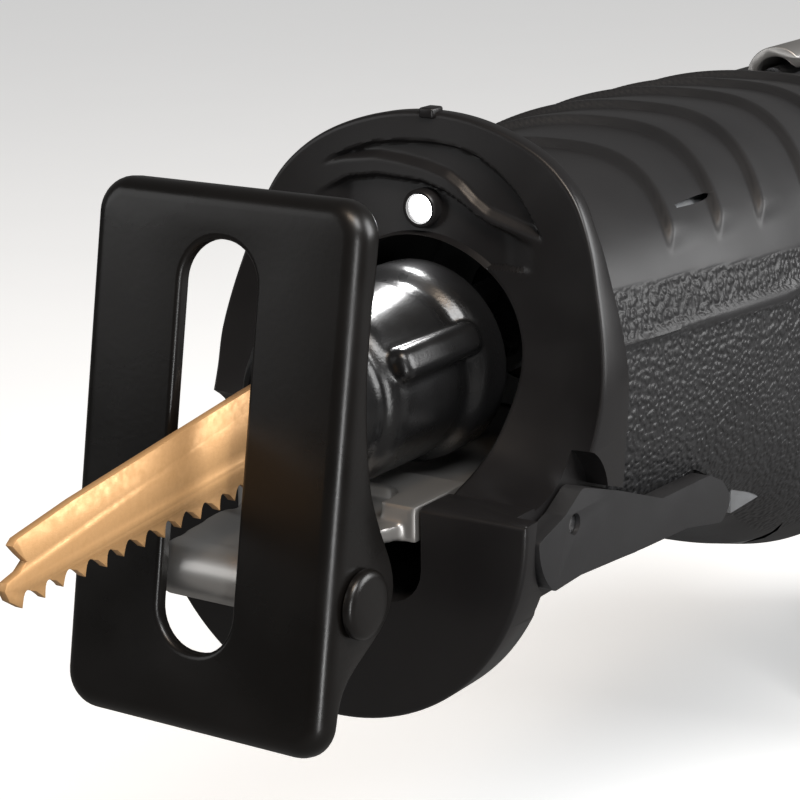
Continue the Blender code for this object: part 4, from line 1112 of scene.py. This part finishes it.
    def collar(self) -> Piece:
        """Ring and chin as one moulding, with its bores and notch."""
        collar = self.ring()
        centre = (0.0, self.chin_low + self.chin_half)
        chin = [(self.chin_half, self.chin_top), (-self.chin_half, self.chin_top),
                *arc(centre, self.chin_half, 180, 360, 72)]
        bridge = rectangle(26.3, -31.7, self.chin_top - 1)
        nib = block("nose_nib", (-1.3, 1.3), (59.2, 62.6), (40.0, 41.7), 0.4)
        y, z = self.lamp
        bezel = lathe("lamp_bezel", Axis.Y, (0, 0, z), [(0, y + 2), (3.1, y + 2), (3.1, y - 0.9),
                                                        (2.8, y - 1.2),
                                                        (2.4, y - 1.2), (2.3, y - 0.9), (0, y - 0.9)],
                                                        48)
        combined(collar, Work.ADD, [slab("chin", Axis.Y, self.chin_span, chin, 0.8),
                                    slab("chin_bridge", Axis.Y, (36, 60.4), bridge), nib, bezel])
        combined(collar, Work.CUT, [rod("mouth", Axis.Y, (0, 0, self.mouth_z), self.mouth - 0.4,
                                        (20, 70), 128),
                                    slab("notch", Axis.Y, (20, 70),
                                         rounded(rectangle(self.notch_half, self.notch_low, 4), 6)),
                                    *ShoeLever().way(),
                                    rod("bore", Axis.X, (0, *ShoeLever().pivot), 1.8, (-60, 60)),
                                    rod("lamp_bore", Axis.Y, (0, 0, z), self.lamp_radius + 0.15,
                                        (50, 70))])
        return collar

    def lens(self) -> Piece:
        """The lamp's domed lens."""
        y, z = self.lamp
        dome = [(0, y + 2), (self.lamp_radius, y + 2), (self.lamp_radius, y - 0.2)]
        dome += [(self.lamp_radius * math.cos(a), y - 0.2 - 1.5 * math.sin(a))
                 for a in [math.radians(d) for d in range(12, 90, 12)]] + [(0, y - 1.7)]
        return lathe("lamp_lens", Axis.Y, (0, 0, z), dome, 48)

    def build(self) -> None:
        """Make the collar and the lamp."""
        deliver(finished_shading(self.collar(), 45), "housing", "rubber", Finishes.COLLAR_RUBBER,
                "front_collar")
        deliver(self.lens(), "housing", "lens", Finishes.LAMP_LENS, "led_lens")
        dress_node("led_holder", Finishes.HOUSING_NYLON)


@dataclass
class Boot:
    """The rubber boot over the gear housing: ribbed shoulders and pebbled side panels."""

    sections: tuple[tuple[float, float, float, float], ...] = (
        (61.0, 31.5, 28.0, -33.5), (75, 33.5, 28.0, -34.5), (102, 37.0, 29.3, -37.5),
        (117, 38.2, 31.0, -42.0),
        (130, 39.0, 31.6, -49.0), (150, 40.0, 31.6, -55.0), (173, 40.5, 30.8, -57.0),
        (187.0, 40.3, 30.3, -56.5))
    corner: float = 0.62
    crown: float = 0.8
    ridge: float = 0.06
    around: int = 300
    step: float = 0.5
    ribs: tuple[float, ...] = (101.0, 117.0, 131.5, 150.0, 167.5, 183.5)
    rib_height: float = 1.4
    rib_curve: float = 0.0175
    panel: Rows = ((61, 14.4), (90, 13.4), (121, 11.4), (187, 7.5))
    panel_low: float = -46.0
    panel_inner: float = 26.0
    panel_depth: float = 0.35
    stripe: Rows = ((61, 1.0), (90, 1.5), (118, 2.3), (187, 4.0))
    stripe_top: float = 6.5
    stripe_height: float = 0.45

    def size(self, y: float) -> Place:
        """Half width, top and bottom at a depth."""
        rows = np.array(self.sections)
        return tuple(soft_curve(y, list(zip(rows[:, 0], rows[:, k])), 4.0) for k in (1, 2, 3))

    def outline(self, y: float, count: int) -> np.ndarray:
        """The section's places at a depth, flatter at the sides than an ellipse."""
        half, top, low = self.size(y)
        angle = np.arange(count) * math.tau / count
        c, s = np.cos(angle), np.sin(angle)
        steep = np.clip((s - 0.45) / 0.5, 0, 1)
        bend = self.corner + self.ridge * steep * steep * (3 - 2 * steep)
        x = np.sign(c) * np.abs(c) ** bend * half
        z = (top + low) / 2 + np.sign(s) * np.abs(s) ** self.crown * (top - low) / 2
        return np.column_stack([x, z])

    def rib(self, x: float, y: float, z: float) -> float:
        """The ribs' height: each steps up towards the rear and sinks slowly behind its crest."""
        if z < 15:
            return 0.0
        along = y + self.rib_curve * x * x
        ends = (*self.ribs[1:], self.ribs[-1] + 16.0)
        height = max(smoothstep(along, crest - 1.0, crest) * (1 - smoothstep(along, crest,
                                                                             after - 0.5) ** 0.8)
                     for crest, after in zip(self.ribs, ends))
        return self.rib_height * height * smoothstep(z, 16.5, 20.5)

    def panelled(self, x: float, y: float, z: float) -> float:
        """1 on the pebbled side panel, outside the smooth stripe along it."""
        top = float(np.interp(y, *zip(*self.panel)))
        inside = (smoothstep(top - z, 0.0, 0.5) * smoothstep(z, self.panel_low, self.panel_low + 2.0)
                  * smoothstep(abs(x), self.panel_inner, self.panel_inner + 1.0))
        inside *= smoothstep(y, 62.5, 63.3) * (1 - smoothstep(y, 181.0, 182.0))
        return inside * (1 - self.striped(y, z))

    def striped(self, y: float, z: float) -> float:
        """1 on the smooth stripe that runs along the panel."""
        wide = float(np.interp(y, *zip(*self.stripe)))
        return smoothstep(self.stripe_top - z, 0.0, 0.3) * smoothstep(z - (6.4 - wide), -0.3, 0.0)

    def relief(self, x: float, y: float, z: float) -> float:
        """How far the surface stands out from its plain section."""
        side = 0.0
        if abs(x) > self.panel_inner and z < 16:
            side = (-self.panel_depth * self.panelled(x, y, z)
                    + self.stripe_height * self.striped(y, z) * smoothstep(y, 62.5, 63.3))
        return self.rib(x, y, z) + side

    def shell(self) -> Piece:
        """The outside with its relief, hollowed for the gear housing and the lever."""
        rings = []
        first, last = self.sections[0][0], self.sections[-1][0]
        count = round((last - first) / self.step)
        for k in range(count + 1):
            y = first + (last - first) * k / count
            flat = self.outline(y, self.around)
            along = np.roll(flat, -1, axis=0) - np.roll(flat, 1, axis=0)
            normal = np.column_stack([along[:, 1], -along[:, 0]])
            normal /= np.linalg.norm(normal, axis=1)[:, None]
            rings.append([(x + n[0] * lift, y, z + n[1] * lift) for (x, z), n in zip(flat, normal)
                          for lift in (self.relief(x, y, z),)])
        boot = skin("insulation_boot_skin", rings, smooth=60)
        cavity = rounded([(-31.6, -50.4), (31.6, -50.4), (31.6, 27.2), (-31.6, 27.2)], 16)
        front = rounded([(-31.2, -33.9), (31.2, -33.9), (31.2, 10.0), (27.9, 10.0), (27.9, 23.9),
                         (-27.9, 23.9),
                         (-27.9, 10.0), (-31.2, 10.0)], 1)
        tools = [rod("boot_mouth", Axis.Y, (0, 0, 2), 20.5, (50, 93), 64),
                 block("rail_way", (-17.2, 17.2), (50, 93), (-21.2, -12.0)),
                 slab("boot_room", Axis.Y, (135.6, 200), cavity),
                 slab("boot_waist", Axis.Y, (107.8, 142), front),
                 slab("boot_throat", Axis.Y, (91.6, 112), rectangle(27.9, -33.4, 23.4)),
                 *ShoeLever().way()]
        return combined(boot, Work.CUT, tools)

    def build(self) -> None:
        """Make the boot."""
        boot = finished_shading(self.shell(), 50)
        paint(boot, "stipple", self.panelled)
        deliver(boot, "housing", "rubber", Finishes.BOOT_RUBBER, "insulation_boot")


@dataclass
class ShoeLever:
    """The stirrup that frees the rail: two arms beside the nose and a bar under the belly."""

    pivot: Pair = (44.0, -16.5)
    nose: float = 10.7
    inner: float = 32.2
    outer: float = 35.6
    flat: Pair = (14.0, -39.0)
    shoulder: float = -27.0
    bar: Pair = (66.0, 80.0)
    bore: float = 1.7

    def outline(self, grow: float = 0.0) -> Outline:
        """An arm from the side; grow widens it into its pocket."""
        return [(46.5, -11.4 + grow), (58, -15 + grow), (73, -20.4 + grow), (90, -21.1 + grow),
                (95, -23.4 + grow),
                (99 + grow, -27.6), (95, -30.7 - grow), (82, -28 - grow), (67, -27 - grow),
                (46, -25.2 - grow),
                *arc(self.pivot, self.nose + grow, 236, 180, 10), (41 - grow, -14.4 + grow)]

    def way(self) -> list[Piece]:
        """Cutters for the pockets that the arms lie in and the room that they swing through."""
        cutters = []
        for side in (-1, 1):
            span = tuple(sorted((side * (self.inner - 0.5), side * 60)))
            cutters += [slab("pocket", Axis.X, span, rounded(self.outline(0.6), 2.0)),
                        rod("nose_sweep", Axis.X, (0, *self.pivot), self.nose + 0.5, span),
                        block("arm_sweep", span, (37.9, 61.0), (-34.0, -17.0))]
        return cutters

    def band(self, shrink: float) -> Outline:
        """Half of the bar's outline, from the arm down to its flat."""
        arm = self.outer - shrink
        return rounded([(arm, -24.0), (arm, self.shoulder), (self.flat[0], self.flat[1] + shrink),
                        (0, self.flat[1] + shrink)], 5)[7:-7]

    def build(self) -> None:
        """Make the lever and dress its pins."""
        side = rounded(self.outline(), 2.5, 5)
        lever = slab("lever_arm", Axis.X, (self.inner, self.outer), side)
        other = slab("lever_arm_left", Axis.X, (-self.outer, -self.inner), side)
        outer, inner = self.band(0.0), self.band(self.outer - self.inner + 0.1)
        ends = (self.outer, self.inner - 0.1)
        band = [(ends[0], -24.0), *outer, *[(-x, z) for x, z in outer[::-1]], (-ends[0], -24.0),
                (-ends[1], -24.0),
                *[(-x, z) for x, z in inner], *inner[::-1], (ends[1], -24.0)]
        combined(lever, Work.ADD, [other, slab("lever_bar", Axis.Y, self.bar, band)])
        for start, end, first, last in ((34.6, 40, 1.5, 1.9), (-40, -34.6, 1.9, 1.5)):
            dimple = [(0, start), (first, start), (last, end), (0, end)]
            combined(lever, Work.CUT, [lathe("dimple", Axis.X, (0, *self.pivot), dimple, 32)])
        combined(lever, Work.CUT, [rod("lever_bore", Axis.X, (0, *self.pivot), self.bore, (-60, 60),
                                       32)])
        deliver(eased(lever, 0.7, 3, 40), "lever", "black_plastic", Finishes.LEVER_NYLON,
                "shoe_lock_lever")
        for node in ("lever_pin_left", "lever_pin_right"):
            dress_node(node, Finishes.GROUND_STEEL)


# ---------------------------------------------------------------- rear housing

@dataclass
class Housing:
    """Both clamshells: motor barrel, D-handle and battery base, with screws and controls."""

    patterns: Patterns
    barrel: tuple[tuple[float, float, float, float], ...] = (
        (188.0, 38.0, 29.8, -56.0), (215, 38.0, 29.8, -56.0), (262, 37.0, 29.0, -54.5),
        (292, 35.0, 29.0, -52.5),
        (302.0, 30.0, 27.0, -49.0))
    handle: Rows = (
        (270, 29), (335, 31), (388, 27), (407, 12), (431, -62), (441, -92), (441, -112), (322, -112),
        (316, -92),
        (296, -54), (270, -52))
    gap: Rows = ((318, 7), (364, 5), (379, -10), (396, -78), (350, -84), (328, -68),
                 (312, -30))
    screws: Rows = ((203, 21.0), (287, 19.0), (203, -45.0), (293, -42.0), (332, -99.5),
                    (396, 14.0))
    wall: float = 2.6
    grip_half: float = 16.0
    base_half: float = 36.0
    rings: int = 40
    hook_z: float = 29.5
    bolt: Pair = (382.5, 12)

    def barrel_rings(self, grow: float, stretch: float = 0.0) -> list[list[Place]]:
        """The barrel's sections; grow is negative for its inside."""
        shape = Boot(sections=self.barrel)
        first, last = self.barrel[0][0] - stretch, self.barrel[-1][0] + min(grow, 0)
        rings = []
        scale = 1 + grow / self.barrel[0][1]
        for k in range(self.rings + 1):
            y = first + (last - first) * k / self.rings
            rings.append([(x * scale, y, -12 + (z + 12) * scale) for x, z in shape.outline(y, 140)])
        return rings

    def body(self) -> Piece:
        """Both halves in one, outside only."""
        loop = slab("handle_loop", Axis.X, (-self.grip_half, self.grip_half),
                    rounded(list(self.handle), 14, 8))
        hole = slab("finger_gap", Axis.X, (-30, 30), rounded(list(self.gap), 12, 8))
        remeshed(combined(loop, Work.CUT, [hole]), 1.3, 34)
        body = skin("housing_body", self.barrel_rings(0))
        base = block("battery_base", (-self.base_half, self.base_half), (321, 440.3), (-112, -92), 5.5,
                     5)
        combined(body, Work.ADD, [loop, base])
        return remeshed(body, 1.1, 7)

    def rooms(self) -> list[Piece]:
        """The hollows and openings inside the halves."""
        room = rounded([(300, 10), (330, 28), (386, 24), (403, 11), (428, -62), (434, -90), (400, -90),
                        (399, -76),
                        (382, -8), (366, 8), (316, 10)], 4)
        inner = self.grip_half - self.wall - 1
        return [skin("barrel_room", self.barrel_rings(-self.wall, 1.0)),
                slab("grip_room", Axis.X, (-inner, inner), room),
                block("base_room", (-33.4, 33.4), (326, 436), (-108.5, -95)),
                block("channel", (-25, 25), (325.5, 450), (-120, -105.5)),
                block("trigger_way", (-8.6, 8.6), (358, 396), (-43, 0.5), 1.5),
                rod("bolt_way", Axis.X, (0, *self.bolt), 5.4, (-30, 30)),
                rod("hook_way", Axis.Y, (0, 0, self.hook_z), 7.5, (180, 215)),
                rod("hook_bore", Axis.Y, (0, 0, self.hook_z), 2.8, (180, 226))]

    def vents(self) -> list[Piece]:
        """The slots that cool the motor, on both sides of the barrel and at its top."""
        result = []
        for side in (-1, 1):
            slot = block("vent_slot", tuple(sorted((side * 20, side * 48))), (252, 254.4), (-30, -2),
                         1.0)
            result.append(self.patterns.row("vents", slot, Finishes.HOUSING_NYLON, 7, (0, 5.2, 0)))
            slot = block("fan_slot", tuple(sorted((side * 20, side * 48))), (197, 199.2), (-32, 4), 1.0)
            result.append(self.patterns.row("fan_vents", slot, Finishes.HOUSING_NYLON, 3, (0, 4.6, 0)))
        return result

    def shells(self) -> None:
        """Cut the body open and split it."""
        body = combined(self.body(), Work.CUT, self.rooms() + self.vents())
        heads = [rod("screw_well", Axis.X, (0, y, z), 3.9, (10.0, 60), 24) for y, z in self.screws]
        seats = [rod("screw_seat", Axis.X, (0, y, z), 5.4, (6.0, 20), 24) for y, z in self.screws]
        combined(body, Work.ADD, seats)
        combined(body, Work.CUT, heads)
        for name, side in (("housing_left", 1), ("housing_right", -1)):
            half = body.copy()
            half.data = body.data.copy()
            half.name = f"{name}_shell"
            bpy.context.scene.collection.objects.link(half)
            away = block("other_half", tuple(sorted((-side * 80, side * 0.15))), (150, 500), (-200, 80))
            combined(half, Work.CUT, [away])
            finished_shading(half, 45)
            paint(half, "stipple", self.gripped)
            deliver(half, "housing", "black_plastic", Finishes.GRIP_NYLON, name)
        bpy.data.objects.remove(body)

    @staticmethod
    def gripped(x: float, y: float, z: float) -> float:
        """1 on the pebbled sides of the grip and of the handle's neck."""
        line = 391 + (8 - z) * 0.33
        if y > 320:
            across = smoothstep(10 - abs(y - line - 5), -6.0, -5.0)
            return across * smoothstep(z, -78, -76) * (1 - smoothstep(z, -6, -4)) * smoothstep(abs(x),
                                                                                               9, 10)
        along = smoothstep(y, 222, 223) * (1 - smoothstep(y, 246, 247))
        return along * (1 - smoothstep(abs(z + 14), 22, 23)) * smoothstep(abs(x), 30, 31)

    def fasteners(self) -> None:
        """The six housing screws, with six-lobed drives."""
        head, shank, seat = 3.5, 1.9, 10.3
        crown = seat + 2.9
        profile = [(0, crown - 0.02), (1.6, crown), (2.6, crown - 0.15), (3.2, crown - 0.55),
                   (head, crown - 1.2),
                   (head, seat), (shank, seat), (shank, -6.5), (0, -8)]
        screw = lathe("screw", Axis.X, (0, 0, 0), profile, 32)
        lobes = [((1.75 + 0.32 * math.cos(6 * a)) * math.cos(a),
                  (1.75 + 0.32 * math.cos(6 * a)) * math.sin(a))
                 for a in (math.tau * k / 36 for k in range(36))]
        combined(screw, Work.CUT, [slab("drive", Axis.X, (crown - 1.8, crown + 2), lobes)])
        made = self.patterns.places("housing_screws", screw, Finishes.ZINC,
                                    [(0, y, z) for y, z in self.screws])
        nodes = [f"housing_screw_{i + 1}" for i in range(len(self.screws))]
        deliver(made, "housing", "zinc", Finishes.ZINC, *nodes)

    def grip(self) -> None:
        """The rubber strip down the back of the grip, with its cross ribs."""
        outline = [(408.8, 10), (431.6, -60), (433.8, -59.4), (411.2, 11)]
        strip = slab("rear_grip_strip", Axis.X, (-13, 13), outline, 0.7)
        rib = slab("rear_grip_rib", Axis.X, (-11, 11), arc((412.7, 4.6), 0.85, 0, 330, 11))
        ribs = self.patterns.row("grip_ribs", rib, Finishes.BOOT_RUBBER, 17, (0, 1.22, -3.75))
        combined(strip, Work.ADD, [ribs])
        deliver(eased(strip, 0.15, 1), "housing", "rubber", Finishes.BOOT_RUBBER, "rear_grip")

    def controls(self) -> None:
        """Trigger and lock-off bolt."""
        front = [(374.8, -1), (385, -1), (389, -20), (389, -42), (381, -42), (376.5, -37), (372.2, -30),
                 (369.6, -23),
                 (368.4, -16), (370.2, -8)]
        trigger = slab("trigger_lever", Axis.X, (-8, 8), rounded(front, 2.0, 4), 1.6, 4)
        rib = block("trigger_rib", (-6.2, 6.2), (367.9, 369.6), (-17.2, -16.2), 0.3)
        ribs = self.patterns.row("trigger_ribs", rib, Finishes.CONTROL_NYLON, 5, (0, 0.5, -2.6))
        combined(trigger, Work.ADD, [ribs])
        combined(trigger, Work.CUT, [rod("trigger_bore", Axis.Y, (0, 0, -26), 4.0, (379, 400))])
        deliver(trigger, "trigger", "grey_plastic", Finishes.CONTROL_NYLON, "trigger")
        bolt = lathe("lock_off_bolt", Axis.X, (0, *self.bolt),
                     [(0, -17), (4.4, -17), (5, -16.3), (5, 19.0), (4.6, 19.7), (3.8, 20), (3.4, 19.5),
                      (2.6, 19.5),
                      (2.2, 20), (1.6, 20), (1.2, 19.5), (0, 19.5)], 56)
        deliver(bolt, "lock_off", "grey_plastic", Finishes.CONTROL_NYLON, "lock_off_button")

    def build(self) -> None:
        """Make the halves and what sits in them."""
        self.shells()
        self.fasteners()
        self.grip()
        self.controls()


@dataclass
class Battery:
    """The slide-on pack with its two case halves, latch and charge button."""

    patterns: Patterns
    half: float = 37.3
    front: float = 326.0
    rear: float = 440.5
    top: float = -112.4
    split: float = -131.0
    low: float = TABLE_Z
    seam: float = 0.15
    button: Pair = (20, -150)

    def upper(self) -> Piece:
        """The upper case with its rails and the latch's seat."""
        case = block("upper_case", (-self.half, self.half), (self.front, self.rear),
                     (self.split + self.seam, self.top), 4, 4)
        tongue = block("rails", (-24.6, 24.6), (self.front + 2, 434), (-118, -106), 0.8)
        room = block("upper_room", (-34.5, 34.5), (329, 437), (-140, -116))
        combined(case, Work.CUT, [room])
        combined(case, Work.ADD, [tongue])
        return combined(case, Work.CUT, [block("contacts", (-16, 16), (300, 372), (-111.8, -100)),
                                         block("latch_seat", (-12.4, 12.4), (435.5, 450),
                                               (-129, -111))])

    def lower(self) -> Piece:
        """The lower case with its side flutes, front recess and the holes for the button and the gauge lights."""
        case = block("lower_case", (-self.half, self.half), (self.front, self.rear),
                     (self.low, self.split - self.seam), 4, 4)
        flutes = []
        for side in (-1, 1):
            span = tuple(sorted((side * (self.half - 0.9), side * 50)))
            flute = block("flute", span, (346, 350), (-160, -138), 0.5)
            flutes.append(self.patterns.row("flutes", flute, Finishes.HOUSING_NYLON, 10, (0, 8.2, 0)))
        front = block("front_panel", (-24, 24), (300, self.front + 0.9), (-160, -138), 0.5)
        room = block("lower_room", (-34.5, 34.5), (329, 437), (-165, -120))
        x, z = self.button
        button = rod("button_way", Axis.Y, (x, 0, z), 3.3, (430, 450))
        lights = rod("gauge", Axis.Y, (-4, 0, z), 1.3, (self.rear - 0.8, 450), 24)
        gauge = self.patterns.row("gauge_row", lights, Finishes.HOUSING_NYLON, 4, (5.2, 0, 0))
        return combined(case, Work.CUT, [*flutes, front, room, button, gauge])

    def build(self) -> None:
        """Make the pack."""
        for case, node in ((self.upper, "battery_case_upper"), (self.lower, "battery_case_lower")):
            deliver(finished_shading(case()), "battery", "black_plastic", Finishes.HOUSING_NYLON, node)
        latch = block("latch_key", (-12, 12), (435.9, 440.8), (-126, -112.9), 0.9)
        groove = block("latch_groove", (-9, 9), (440.2, 445), (-123.6, -122.8))
        grooves = self.patterns.row("latch_grooves", groove, Finishes.CONTROL_NYLON, 5, (0, 0, 2.0))
        combined(latch, Work.CUT, [grooves])
        deliver(finished_shading(latch), "latch", "grey_plastic", Finishes.CONTROL_NYLON,
                "battery_latch")
        x, z = self.button
        key = lathe("charge_key_cap", Axis.Y, (x, 0, z),
                    [(0, 436), (3, 436), (3, 440.6), (2.6, 441.1), (0, 441.2)], 40)
        deliver(key, "charge_key", "grey_plastic", Finishes.CONTROL_NYLON, "charge_button")


@dataclass
class RafterHook:
    """A bent strip that swings about the rod on top of the barrel."""

    rod_z: float = 29.5
    outer: float = 6.5
    sheet: float = 2.0
    span: Pair = (190.0, 214.0)
    bends: Rows = ((9.5, 34.1), (20, 33.2), (28, 29.6), (34.5, 22.5), (38.2, 12.0), (39.4, 2.0))

    def build(self) -> None:
        """Make the strip and dress its rod."""
        path = list(arc((0, self.rod_z), self.outer - self.sheet / 2, 200, 40, 30))
        path += rounded([path[-1], *self.bends], 9, 5)[6:-6] + [self.bends[-1]]
        points = [Vector(place) for place in path]
        outside, inside = [], []
        for i, place in enumerate(points):
            way = (points[min(i + 1, len(points) - 1)] - points[max(i - 1, 0)]).normalized()
            across = Vector((-way.y, way.x)) * self.sheet / 2
            outside.append(tuple(place + across))
            inside.append(tuple(place - across))
        strip = slab("hook_strip", Axis.Y, self.span, outside + inside[::-1])
        deliver(eased(strip, 0.4, 2, 50), "hook", "phosphated_steel", Finishes.PHOSPHATE, "rafter_hook")
        dress_node("hook_pin", Finishes.GROUND_STEEL)


def dress_inside() -> None:
    """Give every piece inside the housing its finish."""
    kept = {Finishes.CAST_ALUMINIUM: ("gear_housing", "gear_housing_cover"),
            Finishes.SINTERED_BRONZE: ("front_bush", "rear_bush"), Finishes.FELT: ("dust_seal",),
            Finishes.COPPER: ("stator",), Finishes.LAMINATION: ("rotor_core",),
            Finishes.PHOSPHATE: ("crank_gear",), Finishes.CIRCUIT_BOARD: ("sensor_board",
                                                                          "controller_board"),
            Finishes.HOUSING_NYLON: ("cooling_fan", "switch_module"),
            Finishes.CONTROL_NYLON: ("battery_terminal", "cell_block"),
            Finishes.GROUND_STEEL: ("crank_roller", "crank_shaft", "crank_upper_bearing",
                                    "crank_lower_bearing",
                                    "motor_pinion", "motor_shaft", "front_motor_bearing",
                                    "rear_motor_bearing",
                                    "trigger_spring", "latch_spring")}
    for finish, nodes in kept.items():
        for node in nodes:
            dress_node(node, finish)


# ---------------------------------------------------------------- studio

@dataclass
class Studio:
    """Pale floor, soft boxes and a camera near the saw's nose."""

    eye: Place = (208.987, -269.238, 102.257)
    yaw: float = 33.1352
    pitch: float = 15.4976
    roll: float = -0.75781
    lens: float = 112.5
    sensor: float = 36.0
    room_glow: float = 0.14
    floor_half: float = 6000.0
    floor_glow: float = 0.45

    def camera(self) -> None:
        """A camera that looks along the saw from its front right."""
        turn, dip = math.radians(self.yaw), math.radians(self.pitch)
        forward = Vector((-math.sin(turn) * math.cos(dip), math.cos(turn) * math.cos(dip),
                          -math.sin(dip)))
        right = Vector((math.cos(turn), math.sin(turn), 0))
        pose = Matrix((right, right.cross(forward), -forward)).transposed().to_4x4()
        data = bpy.data.cameras.new("camera")
        data.lens, data.sensor_width = self.lens, self.sensor
        data.clip_start = 0.01
        camera = bpy.data.objects.new("camera", data)
        camera.matrix_world = (Matrix.Translation(DATUM.at(*self.eye)) @ pose
                               @ Matrix.Rotation(math.radians(self.roll), 4, "Z"))
        bpy.context.scene.collection.objects.link(camera)
        bpy.context.scene.camera = camera

    @staticmethod
    def softbox(name: str, place: Place, target: Place,
                size: Pair, power: float, colour: str = "#ffffff") -> None:
        """A rectangular light.

        Args:
            name: Its name.
            place: Where it stands, in millimetres on the saw.
            target: What it points at.
            size: Its width and height in metres.
            power: Its watts.
            colour: Its colour.
        """
        data = bpy.data.lights.new(name, "AREA")
        data.shape = "RECTANGLE"
        data.size, data.size_y = size
        data.energy = power
        data.color = linear(colour)[:3]
        light = bpy.data.objects.new(name, data)
        start, end = DATUM.at(*place), DATUM.at(*target)
        aim = (end - start).to_track_quat("-Z", "Y").to_matrix().to_4x4()
        light.matrix_world = Matrix.Translation(start) @ aim
        bpy.context.scene.collection.objects.link(light)

    def floor_paint(self) -> bpy.types.Material:
        """Pale matt paint that looks bright and lights the saw's underside only a little."""
        paint_coat = Finish("pale_floor", "#f3f3f2", "#efefee", 0.6, patch=90, grain=2.0,
                            relief=0.02).material()
        tree = paint_coat.node_tree
        pale = tree.nodes["Principled BSDF"]
        seen = add(tree, "ShaderNodeLightPath").outputs["Is Camera Ray"]
        dim = add(tree, "ShaderNodeBsdfDiffuse", {"Color": linear("#787878")})
        both = add(tree, "ShaderNodeMixShader", {0: seen, 1: dim.outputs[0], 2: pale.outputs[0]})
        pale.inputs["Emission Color"].default_value = linear("#ffffff")
        pale.inputs["Emission Strength"].default_value = self.floor_glow
        tree.links.new(both.outputs[0], tree.nodes["Material Output"].inputs["Surface"])
        return paint_coat

    def build(self) -> None:
        """Set up floor, world, lights and camera."""
        half = self.floor_half
        floor = slab("floor", Axis.Z, (TABLE_Z - 3, TABLE_Z), rectangle(half, -half, half))
        floor.data.materials.append(self.floor_paint())
        world = bpy.data.worlds.new("studio")
        world.use_nodes = True
        tree = world.node_tree
        seen = add(tree, "ShaderNodeLightPath").outputs["Is Camera Ray"]
        bright = add(tree, "ShaderNodeMapRange", {0: seen, 3: self.room_glow, 4: 1.0})
        shade = tree.nodes["Background"]
        shade.inputs["Color"].default_value = linear("#ffffff")
        tree.links.new(bright.outputs[0], shade.inputs["Strength"])
        bpy.context.scene.world = world
        bpy.context.scene.view_settings.view_transform = "Standard"
        middle = (0, 60, 0)
        self.softbox("key", (620, -260, 760), middle, (0.35, 0.35), 9)
        self.softbox("top", (300, -330, 850), (0, 0, 20), (0.25, 0.25), 4, "#ffe6cc")
        self.softbox("strip", (360, -275, -10), (20, 20, 0), (0.05, 0.26), 1.0)
        self.softbox("kicker", (720, 560, 330), middle, (0.5, 0.5), 9)
        self.softbox("fill", (-700, -600, 350), middle, (0.6, 0.6), 2)
        self.softbox("lamp", (0, 54.6, 26), (0, 20, 14), (0.004, 0.004), 0.012)
        self.camera()


def main() -> None:
    """Build the saw's visible pieces and the studio."""
    logging.basicConfig(level=logging.INFO, format="%(name)s %(message)s")
    Studio().build()
    patterns = Patterns()
    Shoe().build()
    BladeClamp().build()
    Nose().build()
    Boot().build()
    ShoeLever().build()
    Housing(patterns).build()
    Battery(patterns).build()
    RafterHook().build()
    dress_inside()


if __name__ == "__main__":
    main()
